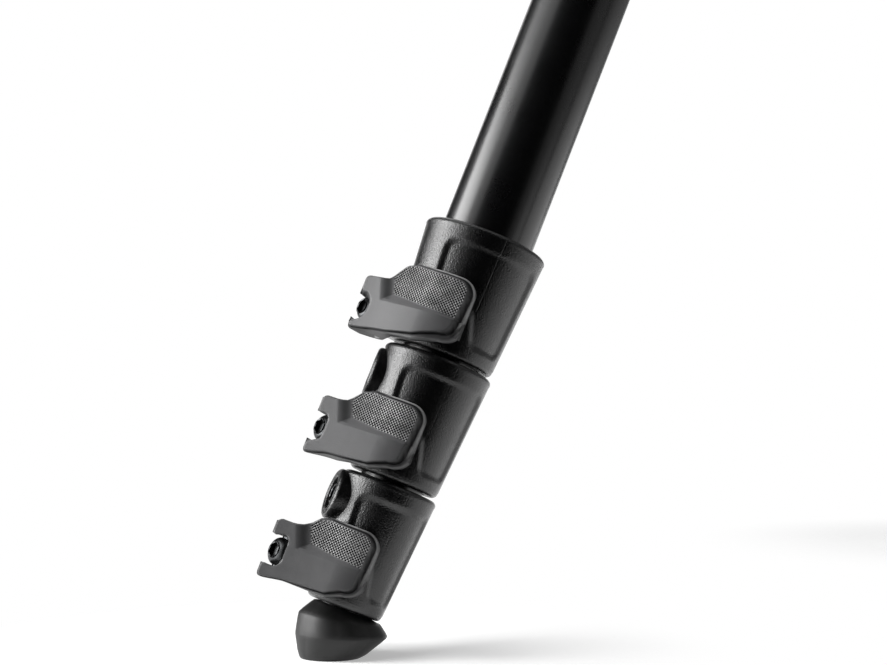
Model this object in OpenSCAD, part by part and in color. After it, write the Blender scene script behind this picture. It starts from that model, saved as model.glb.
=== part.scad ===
// Camera tripod with three four-section legs, flip locks, a centre column and a small ball head.
// The origin is on the ground under the column, with +Z up. Leg 2 points to +X and -Y, leg 3 to +Y.

/* [Legs] */
// Distance along a leg from the ground to its hinge pin, with the leg collapsed
leg_length = 425; // [400:1:520]
// Angle of a leg from the vertical at its first stop, in degrees
leg_spread = 22.6; // [18:0.1:30]
// Distance of the hinge pins from the column's axis
hinge_radius = 30; // [29:0.5:36]
// Outer diameter of the top tube
tube_top_d = 22.5; // [22:0.1:24]
// How much thinner each lower tube is than the one above it, on the diameter
tube_step = 3.5; // [3.3:0.1:3.7]
// Wall of the leg tubes
tube_wall = 1.2; // [0.9:0.1:1.3]
// How far each section slides out
extension = 250; // [120:5:255]
// Height of the guide bush on the top end of each sliding tube
guide_h = 12; // [8:1:20]

/* [Locks] */
// Height of a lock collar along its leg
collar_h = 30.8; // [29:0.2:34]
// Gap between one collar and the next with the leg collapsed
collar_gap = 0.76; // [0.4:0.02:2]
// Wall of a collar round its outer tube, at the top rim
collar_wall_top = 3.85; // [3.4:0.05:4.4]
// Wall of a collar round its sliding tube, at the bottom rim
collar_wall_low = 3.2; // [2.9:0.05:3.8]
// Radius of a collar's rounded rims
rim_round = 1.2; // [0.4:0.1:1.6]
// Depth of the panel sunk into each side of a collar
panel_depth = 0.7; // [0.3:0.05:0.9]
// Half of the angle that a sunk panel spans
panel_half_angle = 44; // [30:1:50]
// Distance of a sunk panel from the collar's rims
panel_margin = 5.6; // [4:0.1:8]
// Width of the split in a collar's lower ring
split_w = 1.2; // [0.8:0.1:2]
// Height of the split lower ring
split_h = 16.6; // [14.6:0.2:17.4]
// Diameter of the tension bolt
bolt_d = 3; // [2.5:0.1:3.2]
// Diameter of the tension bolt's button head
bolt_head_d = 5.6; // [5:0.1:6]
// Diameter of the lever's pivot barrel
barrel_d = 6; // [5.4:0.1:6.4]
// Diameter of the clamp screw's round boss on the two lower collars
boss_d = 12.4; // [11:0.1:13]
// Diameter of the clamp screw's button head
clamp_head_d = 7.6; // [6.6:0.1:8.4]

/* [Levers] */
// Thickness of a lever's curved plate with its raised band
lever_t = 3; // [2.6:0.1:3.6]
// Depth of the sunk thumb pad
pad_depth = 1; // [0.5:0.1:1.4]
// Width of the thin lip round a lever's free end
lip_w = 1.1; // [0.6:0.1:1.6]
// Height of a lever at its tips
lever_h = 12.6; // [12.2:0.1:14]
// Height of a lever at its free end
lever_end_h = 17.6; // [16:0.1:18.4]
// Height of the notch between a lever's two ears
notch_h = 7.6; // [7:0.1:8]
// How far a lever swings open, in degrees
lever_swing = 110; // [60:5:115]

/* [Feet] */
// Height of a rubber foot along its leg
foot_h = 11.8; // [11:0.1:16]
// Diameter of a foot at its widest
foot_d = 21.8; // [20:0.2:26]
// Diameter of the flat under a foot
foot_flat_d = 14.4; // [12:0.2:18]
// How far a foot's sole sits toward the column
foot_shift = 1.6; // [0:0.1:2]

/* [Shoulder] */
// Diameter of the shoulder's hub
hub_d = 38; // [36:0.5:42]
// Width of a hip's tongue between the shoulder's cheeks
tongue_w = 16; // [14:0.5:18]
// Thickness of a cheek
cheek_t = 4.5; // [3.5:0.1:6]
// Diameter of a leg's hinge pin
hinge_pin_d = 8; // [6:0.2:9]
// Outer diameter of a hip's sleeve
hip_d = 28.5; // [27:0.5:31]
// Length of a hip's sleeve over the top tube
hip_sleeve = 26; // [20:1:40]
// How far the angle selector pulls out
selector_travel = 5; // [3:0.5:6]

/* [Column] */
// Outer diameter of the centre column
column_d = 24; // [22:0.5:25]
// Wall of the centre column
column_wall = 1.5; // [1:0.1:3]
// Length of the centre column
column_l = 240; // [200:5:260]
// How far the column stands out of the shoulder when it is down
column_proud = 28; // [24:1:50]
// Diameter of the column's lock knob
column_knob_d = 24; // [20:0.5:28]

/* [Head] */
// Diameter of the head's base
head_base_d = 42; // [40:0.5:48]
// Diameter of the ball housing
housing_d = 37; // [36:0.5:39]
// Diameter of the ball
ball_d = 28; // [26:0.5:28.5]
// Diameter of the ball's neck
neck_d = 11; // [9:0.5:12]
// Diameter of the camera plate
plate_d = 40; // [38:0.5:42]
// Thickness of the camera plate
plate_t = 5; // [4:0.2:8]
// Diameter of the camera screw, a quarter inch
screw_d = 6.35; // [6.35:0.01:6.36]
// Length of the camera screw above the plate
screw_l = 5.6; // [4.5:0.1:6]
// Diameter of the camera screw's thumb wheel
wheel_d = 21; // [18:0.5:21]
// Diameter of the ball's lock knob
ball_knob_d = 19; // [16:0.5:22]

/* [Hidden] */
$fn = 64;
LEGS = [1, 2, 3];

// Clearances
run_fit = 0.05;
seat_fit = 0.02;
slide_gap = 0.3;

// Legs: where each one points, and how its tubes nest
function leg_azimuth(leg) = [210, 330, 90][leg - 1];
function tube_r(i) = tube_top_d / 2 - (i - 1) * tube_step / 2;
hinge_z = leg_length * cos(leg_spread);
foot_radius = hinge_radius + leg_length * sin(leg_spread);
collar_pitch = collar_h + collar_gap;
function collar_z(i) = foot_h + slide_gap + (3 - i) * collar_pitch;
stop_h = split_h + 1;
function tube_low(i) = i == 4 ? 4 : collar_z(i) + stop_h;
tube_1_top = leg_length - 27;
function tube_high(i) = tube_1_top - 6 - 4 * (i - 1);
guide_wall = tube_step / 2 - tube_wall - 0.08;

// Collars: outline, twist about the leg, and the place of the lever's pivot
collar_turn = [-10, -7, -3];
pivot_offset = [8, 8.95, 10.3];
function collar_r(i, z) = (tube_r(i + 1) + collar_wall_low)
    + (tube_r(i) + collar_wall_top - tube_r(i + 1) - collar_wall_low) * z / collar_h;
lever_drop = [1.9, 0.9, 0];
function bolt_z(i) = 6.9 - lever_drop[i - 1];
bolt_web = 0.5;
pivot_x = [for (i = [1:3]) tube_r(i + 1) + pivot_offset[i - 1]];
pivot_y = [-5, -3.2, -2];
cam_r = barrel_d / 2 + 0.9;
function bolt_reach(i) = tube_r(i + 1) + bolt_d / 2 + bolt_web;
function bolt_angle(i) = asin(bolt_reach(i) / norm([pivot_x[i - 1], pivot_y[i - 1]]))
    + atan(pivot_y[i - 1] / pivot_x[i - 1]);
function pivot_along(i) = pivot_x[i - 1] * cos(bolt_angle(i)) + pivot_y[i - 1] * sin(bolt_angle(i));
lug_w = 7.6;
lug_h = 9;
nut_d = 6;
nut_t = 2.6;
nut_seat = -7;
boss_proud = 1.8;
function boss_face(i) = collar_r(i, boss_z[i - 1]) + boss_proud;
boss_z = [0, 22.8, 24.1];
boss_turn = [0, -9, -4];
head_t = 1.8;
clamp_d = 4;

// Levers: a curved plate that ends in a straight run to the tips
tangent_angle = 51;
end_angle = [83.5, 81, 81];
tip_reach = 6.5;
tip_rise = [6, 4.3, 3];
function lever_low(i) = 0.9 - lever_drop[i - 1];
function lever_high(i) = lever_low(i) + lever_end_h + [1.3, 0.5, 0][i - 1];
lever_skew = [1.2, 0.5, 0];
end_round = 3.6;
cavity_r = norm([barrel_d / 2 + head_t, bolt_head_d / 2]) + 0.3;
function lever_in_r(i) = collar_r(i, lever_high(i)) + 0.5;
function lever_out_r(i) = lever_in_r(i) + lever_t;
function tip_along(i) = (pivot_x[i - 1] + tip_reach) * sin(tangent_angle)
    - (pivot_y[i - 1] + tip_rise[i - 1]) * cos(tangent_angle);
function end_along(i) = -lever_out_r(i) * sin(end_angle[i - 1] - tangent_angle);

// Shoulder and column
hub_above = 20;
hub_below = 16;
ear_r = 9;
column_low = hinge_z + hub_above + column_proud - column_l;
column_top = column_low + column_l;
stop_x = -6.5;
selector_z = 10;
selector_w = 9;
selector_h = 5;

// Head
base_t = 10;
housing_low = column_top + base_t + 0.3;
ball_z = housing_low + 21.5;
flange_z = ball_z + 19.5;
flange_t = 2.5;
post_h = 5.5;
plate_z = flange_z + flange_t + post_h;
pad_t = 1;
screw_base = pad_t + 0.2;

// Points of an arc, for outlines with rounded corners
function arc(centre, r, from, to, steps = 6) =
    [for (k = [0:steps]) centre + r * [cos(from + (to - from) * k / steps), sin(from + (to - from) * k / steps)]];

module on_leg(leg) {
    rotate([0, 0, leg_azimuth(leg)]) translate([foot_radius, 0, 0]) rotate([0, -leg_spread, 0]) children();
}

module on_collar(leg, i) {
    on_leg(leg) translate([0, 0, collar_z(i)]) rotate([0, 0, collar_turn[i - 1]]) children();
}

// A frame whose X runs along the tension bolt, outwards, with the tube's axis at the origin
module on_bolt(i) {
    rotate([0, 0, bolt_angle(i)]) translate([0, -bolt_reach(i), bolt_z(i)]) children();
}

// A frame whose Z runs out along the clamp screw's boss
module on_boss(i) {
    rotate([0, 0, boss_turn[i - 1]]) translate([0, 0, boss_z[i - 1]]) rotate([0, 90, 0]) children();
}

module tube(leg, i) {
    color("#1c1c1e") on_leg(leg) {
        translate([0, 0, tube_low(i)]) difference() {
            cylinder(r = tube_r(i), h = (i == 1 ? tube_1_top : tube_high(i)) - tube_low(i));
            translate([0, 0, i == 4 ? 3 : -1]) cylinder(r = tube_r(i) - tube_wall, h = leg_length);
        }
        if (i == 4) guide_bush(4);
    }
}

// Guide bush on the top end of a sliding tube, which keeps it centred in the tube above
module guide_bush(i) {
    translate([0, 0, tube_high(i) - guide_h]) difference() {
        cylinder(r = tube_r(i) + guide_wall, h = guide_h);
        translate([0, 0, -1]) cylinder(r = tube_r(i) + seat_fit, h = guide_h + 2);
    }
}

module collar_body(i) {
    low = collar_r(i, 0);
    high = collar_r(i, collar_h);
    rotate_extrude() polygon(concat(
        [[0, 0]],
        arc([low - rim_round, rim_round], rim_round, -90, 0, 4),
        arc([high - rim_round, collar_h - rim_round], rim_round, 0, 90, 4),
        [[0, collar_h]]
    ));
}

module sunk_panel(i) {
    rotate([0, 0, -panel_half_angle]) rotate_extrude(angle = 2 * panel_half_angle) polygon([
        [collar_r(i, panel_margin) - panel_depth, panel_margin],
        [collar_r(i, panel_margin) + 2, panel_margin],
        [collar_r(i, collar_h - panel_margin) + 2, collar_h - panel_margin],
        [collar_r(i, collar_h - panel_margin) - panel_depth, collar_h - panel_margin]
    ]);
}

// Collar: fixed round tube i, with a split ring that the lever closes on the next tube
module collar(leg, i) {
    cam_face = pivot_along(i) - cam_r - run_fit;
    color("#161617") on_collar(leg, i) difference() {
        union() {
            collar_body(i);
            on_bolt(i) translate([nut_seat - nut_t, -lug_w / 2, -lug_h / 2 + 0.6])
                cube([cam_face - nut_seat + nut_t, lug_w / 2 + bolt_reach(i), lug_h]);
            if (i > 1) on_boss(i) cylinder(d = boss_d, h = boss_face(i));
        }
        translate([0, 0, -1]) cylinder(r = tube_r(i + 1) + run_fit, h = collar_h + 2);
        translate([0, 0, stop_h]) cylinder(r = tube_r(i) + seat_fit, h = collar_h);
        rotate([0, 0, 90]) sunk_panel(i);
        // the split, and the slot that frees the ring's two arms
        rotate([0, 0, bolt_angle(i)]) translate([-split_w / 2, -2 * tube_top_d, -1])
            cube([split_w, 2 * tube_top_d, split_h + 1]);
        rotate([0, 0, bolt_angle(i) - 90 - 55]) translate([0, 0, split_h - 0.8])
            rotate_extrude(angle = 110) translate([tube_r(i + 1) - 1, 0]) square([tube_top_d, 0.8]);
        on_bolt(i) {
            rotate([0, 90, 0]) translate([0, 0, -tube_top_d]) cylinder(d = bolt_d + 0.3, h = 3 * tube_top_d);
            translate([nut_seat - 2 * nut_t, 0, 0]) rotate([0, 90, 0])
                cylinder(d = nut_d + 0.2, h = 2 * nut_t, $fn = 6);
        }
        if (i > 1) on_boss(i) {
            cylinder(d = clamp_d + 2 * seat_fit, h = 2 * tube_top_d);
            translate([0, 0, boss_face(i) - head_t - 0.4]) cylinder(d = clamp_head_d + 0.4, h = tube_top_d);
        }
    }
}

module button_screw(head_d, thread_d, length, socket_d) {
    difference() {
        union() {
            cylinder(d = thread_d, h = length);
            translate([0, 0, length]) cylinder(d1 = head_d, d2 = head_d - 1.6, h = head_t);
        }
        translate([0, 0, length + head_t - 1.2]) cylinder(d = socket_d, h = 3, $fn = 6);
    }
}

// Tension bolt with its nut, the lever's pivot barrel, the clamp screw, and the tube's own guide bush
module fittings(leg, i) {
    barrel_low = lever_low(i) + 0.4;
    color("#55575a") {
        on_collar(leg, i) {
            on_bolt(i) {
                translate([nut_seat - nut_t, 0, 0]) rotate([0, 90, 0])
                    button_screw(bolt_head_d, bolt_d, pivot_along(i) + barrel_d / 2 - nut_seat + nut_t + 0.1, 3);
                translate([nut_seat - nut_t + 0.1, 0, 0]) rotate([0, 90, 0]) difference() {
                    cylinder(d = nut_d, h = nut_t - 0.2, $fn = 6);
                    translate([0, 0, -1]) cylinder(d = bolt_d + 2 * seat_fit, h = nut_t + 2);
                }
            }
            translate([pivot_x[i - 1], pivot_y[i - 1], barrel_low]) difference() {
                cylinder(d = barrel_d, h = lever_h - 0.8);
                rotate([0, 0, bolt_angle(i)]) translate([-barrel_d, 0, bolt_z(i) - barrel_low]) rotate([0, 90, 0])
                    cylinder(d = bolt_d + 2 * seat_fit, h = 2 * barrel_d);
            }
            if (i > 1) on_boss(i) translate([0, 0, tube_r(i) + seat_fit])
                button_screw(clamp_head_d, clamp_d, boss_face(i) - head_t - 0.3 - tube_r(i), 3.4);
        }
        if (i > 1) on_leg(leg) guide_bush(i);
    }
}

// Lever in plan, as thick as the offset leaves it: an arc round the collar, then straight to the tips
module lever_plan(i, inset = 0) {
    p = [pivot_x[i - 1], pivot_y[i - 1]];
    r = lever_out_r(i) - inset;
    tip = p + [tip_reach, tip_rise[i - 1]] - inset * [cos(tangent_angle), sin(tangent_angle)];
    line_gap = lever_out_r(i) - (tip + inset * [cos(tangent_angle), sin(tangent_angle)])
        * [cos(tangent_angle), sin(tangent_angle)];
    polygon(concat(
        arc([0, 0], r, end_angle[i - 1] + 10, tangent_angle, 12),
        [tip, tip - [0.3, 1.3], p + (cam_r - 0.3) * [cos(-60), sin(-60)], p - [cam_r - 0.4, 0],
         lever_in_r(i) * [cos(20), sin(20)], [0, 0]]
    ));
}

// Lever seen square to its straight run: along t from the free end to the tips, and z up the leg
module lever_elevation(i, inset = 0) {
    low = lever_low(i) + inset;
    right = end_along(i) + inset;
    tip = tip_along(i);
    top = lever_high(i) - inset;
    skew = lever_skew[i - 1];
    ear = lever_low(i) + lever_h;
    polygon(concat(
        [[tip + 3, low]],
        [[0, low + skew]],
        arc([right + end_round, low + skew + 1.6 + end_round], end_round, 270, 180),
        arc([right + end_round, top - end_round], end_round, 180, 90),
        [[0.47 * tip, top - 1], [0.66 * tip, ear + 1.2], [0.8 * tip, ear + 0.9], [tip + 3, ear]]
    ));
}

module pad_elevation(i) {
    right = end_along(i) + lip_w + 0.4;
    tip = tip_along(i);
    low = lever_low(i) + 8.5;
    polygon([[right, low], [right, 40], [0.62 * tip, 40], [0.62 * tip, low + 2], [0.5 * tip, low + 0.8], [0, low]]);
}

module stand_up(i) {
    rotate([0, 0, tangent_angle - 90]) rotate([90, 0, 0]) translate([0, 0, -3 * tube_top_d])
        linear_extrude(6 * tube_top_d) children();
}

module lever(leg, i) {
    p = [pivot_x[i - 1], pivot_y[i - 1]];
    color("#3a3c3e") on_collar(leg, i) difference() {
        intersection() {
            union() {
                translate([0, 0, -collar_h / 2]) linear_extrude(2 * collar_h) lever_plan(i);
                translate([p[0], p[1], -collar_h / 2]) cylinder(r = cam_r, h = 2 * collar_h);
            }
            stand_up(i) lever_elevation(i);
        }
        translate([0, 0, -collar_h / 2]) cylinder(r = lever_in_r(i), h = 2 * collar_h);
        // the collar's lug stands here, against the cam
        rotate([0, 0, bolt_angle(i)]) translate([-tube_top_d, -2 * tube_top_d, -collar_h / 2])
            cube([tube_top_d + pivot_along(i) - cam_r, 2 * tube_top_d - bolt_reach(i) + lug_w / 2 + 0.3, 2 * collar_h]);
        // sunk thumb pad and the thin lip round the free end
        intersection() {
            linear_extrude(collar_h) difference() {
                lever_plan(i, -2);
                lever_plan(i, pad_depth);
            }
            stand_up(i) pad_elevation(i);
        }
        intersection() {
            translate([0, 0, -collar_h / 2]) linear_extrude(2 * collar_h) difference() {
                lever_plan(i, -2);
                lever_plan(i, lever_t / 2);
            }
            stand_up(i) difference() {
                translate([end_along(i) - 5, -5]) square([5 - 0.2 * end_along(i), 2 * collar_h]);
                lever_elevation(i, lip_w);
            }
        }
        // room for the bolt's head and shank, and the notch between the ears
        translate([p[0], p[1], bolt_z(i) - notch_h / 2]) cylinder(r = cavity_r, h = notch_h);
        translate([p[0] + 2.8, -tube_top_d, bolt_z(i) - notch_h / 2]) cube([tube_top_d, 2 * tube_top_d, notch_h]);
        translate([p[0], p[1], -3]) cylinder(r = barrel_d / 2 + run_fit, h = collar_h);
    }
}

// Rubber foot: upright discs from a small flat to the widest ring, then square to the leg at its neck
module foot(leg) {
    lean = tan(leg_spread);
    color("#202021") on_leg(leg) difference() {
        union() {
            hull() {
                rotate([0, leg_spread, 0]) translate([-foot_shift, 0, 0]) {
                    cylinder(d = foot_flat_d, h = 0.4, $fn = 32);
                    translate([-3.6 * lean, 0, 3.6]) cylinder(d = 0.93 * foot_d, h = 0.4, $fn = 32);
                    translate([-6 * lean, 0, 6]) rotate([0, -7, 0]) cylinder(d = foot_d, h = 0.4, $fn = 32);
                }
                translate([-0.3, 0, 9.2]) cylinder(d = 0.9 * foot_d, h = 0.4, $fn = 32);
                translate([0, 0, foot_h - 0.4]) cylinder(r = tube_r(4) + 1.2, h = 0.4, $fn = 32);
            }
        }
        translate([0, 0, tube_low(4) - seat_fit]) cylinder(r = tube_r(4) + seat_fit, h = leg_length);
    }
}

// Hip: a sleeve on the top tube, with a tongue that hinges between the shoulder's cheeks
module hip(leg) {
    color("#1a1a1b") on_leg(leg) difference() {
        union() {
            translate([0, 0, tube_1_top - hip_sleeve]) cylinder(d = hip_d, h = hip_sleeve);
            translate([0, 0, tube_1_top]) cylinder(d1 = hip_d, d2 = tongue_w, h = 6);
            translate([-ear_r, -tongue_w / 2, tube_1_top + 1])
                cube([2 * ear_r, tongue_w, leg_length - tube_1_top - 1]);
            translate([0, tongue_w / 2, leg_length]) rotate([90, 0, 0]) cylinder(r = ear_r, h = tongue_w);
            translate([-5, -tongue_w / 2, leg_length]) cube([ear_r + 5, tongue_w, selector_z + selector_h / 2 + 2.5]);
        }
        translate([0, 0, tube_1_top - hip_sleeve - 1]) cylinder(r = tube_r(1) + seat_fit, h = hip_sleeve + 1);
        translate([0, 0, leg_length]) rotate([90, 0, 0]) translate([0, 0, -tongue_w])
            cylinder(r = hinge_pin_d / 2 + run_fit, h = 2 * tongue_w);
        translate([-ear_r - 1, -selector_w / 2 - run_fit, leg_length + selector_z - selector_h / 2 - run_fit])
            cube([3 * ear_r, selector_w + 2 * run_fit, selector_h + 2 * run_fit]);
    }
}

// Angle selector: a bar whose nose meets the shoulder at the first stop, pulled out by its tab
module angle_selector(leg) {
    color("#3a3c3e") on_leg(leg) translate([0, 0, leg_length + selector_z]) {
        translate([stop_x, -selector_w / 2, -selector_h / 2]) cube([ear_r + 1 - stop_x, selector_w, selector_h]);
        translate([ear_r + 0.6, -tongue_w / 2, -selector_h / 2 - 3]) cube([2.6, tongue_w, selector_h + 5.4]);
    }
}

module shoulder() {
    color("#1a1a1b") difference() {
        union() {
            translate([0, 0, hinge_z - hub_below]) cylinder(d = hub_d, h = hub_below + hub_above);
            for (leg = LEGS) rotate([0, 0, leg_azimuth(leg)]) translate([0, 0, hinge_z]) {
                for (side = [-1, 1]) translate([0, side * (tongue_w / 2 + run_fit + cheek_t / 2), 0]) {
                    translate([hub_d / 4, -cheek_t / 2, -ear_r]) cube([hinge_radius - hub_d / 4, cheek_t, 2 * ear_r]);
                    translate([hinge_radius, cheek_t / 2, 0]) rotate([90, 0, 0]) cylinder(r = ear_r, h = cheek_t);
                }
            }
            for (leg = LEGS) on_leg(leg) translate([stop_x - run_fit - 9, -selector_w / 2,
                                                    leg_length + selector_z - selector_h / 2 - 1])
                cube([9, selector_w, selector_h + 1]);
            translate([0, 0, hinge_z + 4]) rotate([90, 0, 0]) cylinder(d = 17, h = hub_d / 2 + 7);
        }
        translate([0, 0, hinge_z - hub_below - 1]) cylinder(r = column_d / 2 + run_fit, h = hub_below + hub_above + 2);
        for (leg = LEGS) rotate([0, 0, leg_azimuth(leg)]) translate([hinge_radius, 2 * tongue_w, hinge_z])
            rotate([90, 0, 0]) cylinder(r = hinge_pin_d / 2 + seat_fit, h = 4 * tongue_w);
        translate([0, 0, hinge_z + 4]) rotate([90, 0, 0]) cylinder(r = 4 + run_fit, h = hub_d);
    }
}

module hinge_pins() {
    span = tongue_w + 2 * (run_fit + cheek_t);
    color("#606266") for (leg = LEGS) rotate([0, 0, leg_azimuth(leg)])
        translate([hinge_radius, span / 2 + 0.1, hinge_z]) rotate([90, 0, 0]) difference() {
            union() {
                cylinder(d = hinge_pin_d, h = span + 0.2);
                translate([0, 0, -2.2]) cylinder(d = hinge_pin_d + 4, h = 2.2);
                translate([0, 0, span + 0.2]) cylinder(d = hinge_pin_d + 4, h = 2.2);
            }
            translate([0, 0, -3]) cylinder(d = 4, h = 3, $fn = 6);
        }
}

// Star knob on a shaft along +Z
module star_knob(d, t, shaft_d, shaft_l) {
    lobes = 6;
    cylinder(d = shaft_d, h = shaft_l + 1);
    translate([0, 0, shaft_l]) difference() {
        union() {
            cylinder(d = d, h = t - 1.2);
            cylinder(d = d - 2.4, h = t);
        }
        for (k = [0:lobes - 1]) rotate([0, 0, k * 360 / lobes]) translate([d / 2 + d * 0.07, 0, 3])
            cylinder(d = d * 0.24, h = t);
    }
}

module column_lock_knob() {
    color("#232324") translate([0, -column_d / 2 - 0.1, hinge_z + 4]) rotate([90, 0, 0])
        star_knob(column_knob_d, 15, 8, (hub_d - column_d) / 2 + 8);
}

module column_tube() {
    color("#1c1c1e") translate([0, 0, column_low]) difference() {
        cylinder(d = column_d, h = column_l);
        translate([0, 0, -1]) cylinder(d = column_d - 2 * column_wall, h = column_l + 2);
    }
}

// End cap with a loop to hang a bag from
module column_hook() {
    color("#232324") translate([0, 0, column_low]) difference() {
        union() {
            cylinder(d = column_d - 2 * column_wall - 2 * seat_fit, h = 12);
            translate([0, 0, -6]) cylinder(d = column_d + 3, h = 6);
            translate([0, 0, -12]) rotate([90, 0, 0]) rotate_extrude() translate([7, 0]) circle(d = 3.6);
        }
        translate([0, 0, 2]) cylinder(d = column_d - 2 * column_wall - 4, h = 12);
    }
}

module head_base() {
    color("#1a1a1b") translate([0, 0, column_top]) union() {
        translate([0, 0, -14]) cylinder(d = column_d - 2 * column_wall - 2 * seat_fit, h = 15);
        cylinder(d1 = column_d + 5, d2 = head_base_d, h = 5);
        translate([0, 0, 5]) cylinder(d = head_base_d, h = base_t - 5);
        cylinder(d = 14, h = base_t + 4.6);
    }
}

// Housing that turns on the base and grips the ball, with a slot to drop the neck to one side
module ball_housing() {
    wide = housing_d / 2;
    color("#1a1a1b") difference() {
        translate([0, 0, housing_low]) rotate_extrude() polygon([
            [0, 0], [wide - 1, 0], [wide, 1], [wide, ball_z - housing_low + 1], [ball_d / 2 - 0.6, ball_z - housing_low + 8.4],
            [0, ball_z - housing_low + 8.4]
        ]);
        translate([0, 0, ball_z]) sphere(d = ball_d + 2 * run_fit);
        translate([0, 0, column_top + base_t - 1]) cylinder(d = 14 + 2 * run_fit, h = 6);
        translate([0, 0, ball_z + 4]) cylinder(d = 2 * sqrt(pow(ball_d / 2, 2) - 64) + 0.4, h = 10);
        translate([0, 0, ball_z]) rotate([0, 90, 0]) cylinder(d = neck_d + 2.4, h = housing_d);
        translate([0, -neck_d / 2 - 1.2, ball_z]) cube([housing_d, neck_d + 2.4, 20]);
        translate([0, 0, ball_z - 5]) rotate([90, 0, 0]) cylinder(r = 3 + run_fit, h = housing_d);
    }
}

module ball_lock_knob() {
    tip = sqrt(pow(ball_d / 2, 2) - 25) + 0.3;
    color("#232324") translate([0, -tip - 0.6, ball_z - 5]) rotate([90, 0, 0])
        star_knob(ball_knob_d, 12, 6, housing_d / 2 - tip + 1.4);
}

module ball_stem() {
    color("#8a8d92") union() {
        translate([0, 0, ball_z]) sphere(d = ball_d);
        translate([0, 0, ball_z]) cylinder(d = neck_d, h = flange_z - ball_z);
        translate([0, 0, flange_z]) cylinder(d = 28, h = flange_t);
    }
}

// Camera plate on three posts, with the thumb wheel's room below it
module camera_plate() {
    color("#1a1a1b") {
        difference() {
            translate([0, 0, plate_z]) cylinder(d = plate_d, h = plate_t);
            translate([0, 0, plate_z - 1]) cylinder(r = screw_d / 2 + run_fit, h = plate_t + 2);
        }
        for (k = [0:2]) rotate([0, 0, 60 + 120 * k]) translate([12.3, 0, plate_z - post_h + seat_fit])
            cylinder(d = 3, h = post_h);
    }
}

module camera_screw_wheel() {
    color("#8a8d92") translate([0, 0, plate_z - post_h + 0.3]) {
        cylinder(d = wheel_d, h = post_h - 0.6);
        cylinder(d = screw_d - 0.8, h = post_h - 0.3 + plate_t + screw_l);
        translate([0, 0, post_h - 0.3 + plate_t + screw_base]) cylinder(d = screw_d, h = screw_l - screw_base);
    }
}

// Rubber face of the camera plate
module plate_pad() {
    color("#202021") translate([0, 0, plate_z + plate_t + seat_fit]) difference() {
        cylinder(d = plate_d - 3, h = pad_t);
        translate([0, 0, -1]) cylinder(d = screw_d + 6, h = pad_t + 2);
    }
}

shoulder();
hinge_pins();
column_lock_knob();
column_tube();
column_hook();
head_base();
ball_housing();
ball_lock_knob();
ball_stem();
camera_plate();
camera_screw_wheel();
plate_pad();
for (leg = LEGS) {
    hip(leg);
    angle_selector(leg);
    foot(leg);
    for (i = [1:4]) tube(leg, i);
    for (i = [1:3]) {
        collar(leg, i);
        lever(leg, i);
        fittings(leg, i);
    }
}
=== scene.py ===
"""Camera tripod: surfaces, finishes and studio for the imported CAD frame."""
import math

import bmesh
import bpy
import numpy as np
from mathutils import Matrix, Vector


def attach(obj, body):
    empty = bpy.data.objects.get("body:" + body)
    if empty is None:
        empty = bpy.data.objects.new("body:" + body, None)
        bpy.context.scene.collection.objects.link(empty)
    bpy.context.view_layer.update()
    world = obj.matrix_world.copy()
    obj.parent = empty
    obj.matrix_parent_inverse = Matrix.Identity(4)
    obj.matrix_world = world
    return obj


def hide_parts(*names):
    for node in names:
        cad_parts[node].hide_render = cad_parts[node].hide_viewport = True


bl_info = {
    "name": "Camera Tripod",
    "version": (1, 0, 0),
    "blender": (4, 5, 0),
    "location": "3D View > Sidebar > Tripod",
    "description": "Builds the dressed surfaces of a small flip-lock camera tripod and its studio",
    "category": "Add Mesh",
}

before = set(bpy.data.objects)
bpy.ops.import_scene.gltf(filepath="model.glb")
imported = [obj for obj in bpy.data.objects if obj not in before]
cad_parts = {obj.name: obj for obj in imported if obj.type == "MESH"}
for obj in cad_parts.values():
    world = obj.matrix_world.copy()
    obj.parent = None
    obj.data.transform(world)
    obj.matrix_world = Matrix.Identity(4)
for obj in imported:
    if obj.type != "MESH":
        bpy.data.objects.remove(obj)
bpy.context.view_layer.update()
MM = 0.001
LEGS = (1, 2, 3)
LOCKS = (1, 2, 3)
TUBES = (1, 2, 3, 4)

# Sizes in millimetres. The mould seam, the levers' edge rounding, knurl and grid, the bolts' heads, the
# barrels' lift, the thread's pitch and the camera are set here. The others are those of the part's source.
# Leg: length from hinge to ground, lean from the vertical, circles of the hinges and feet, and directions
LEG_LENGTH, LEAN, HINGE_RADIUS = 425.0, math.radians(22.6), 30.0
HINGE_Z = LEG_LENGTH * math.cos(LEAN)
FOOT_RADIUS = HINGE_RADIUS + LEG_LENGTH * math.sin(LEAN)
AZIMUTH = {1: 210.0, 2: 330.0, 3: 90.0}
# Tubes: radius of the first and step to the next, wall, top ends, and the guide bush's height
TUBE_R, TUBE_STEP, TUBE_WALL = 11.25, 1.75, 1.2
FIRST_TOP, SLIDING_TOP, TOP_STEP, BUSH_H = 398.0, 392.0, 4, 12
# Collars: height, distance to the next, rounding of the rims, walls, place of the lowest, turn about the
# tube, height at which the tube ends inside, and the split ring's height
COLLAR_H, COLLAR_PITCH, RIM = 30.8, 31.56, 1.2
COLLAR_WALL_LOW, COLLAR_WALL_TOP, LOWEST_COLLAR = 3.2, 3.85, 12.1
COLLAR_TURN = {1: -10.0, 2: -7.0, 3: -3.0}
STOP_H, SPLIT_H = 17.6, 16.6
# Angle of the collars' mould seam, and the one that its slanted foot reaches
SEAM, JOG = math.radians(98.7), math.radians(93.5)
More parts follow.
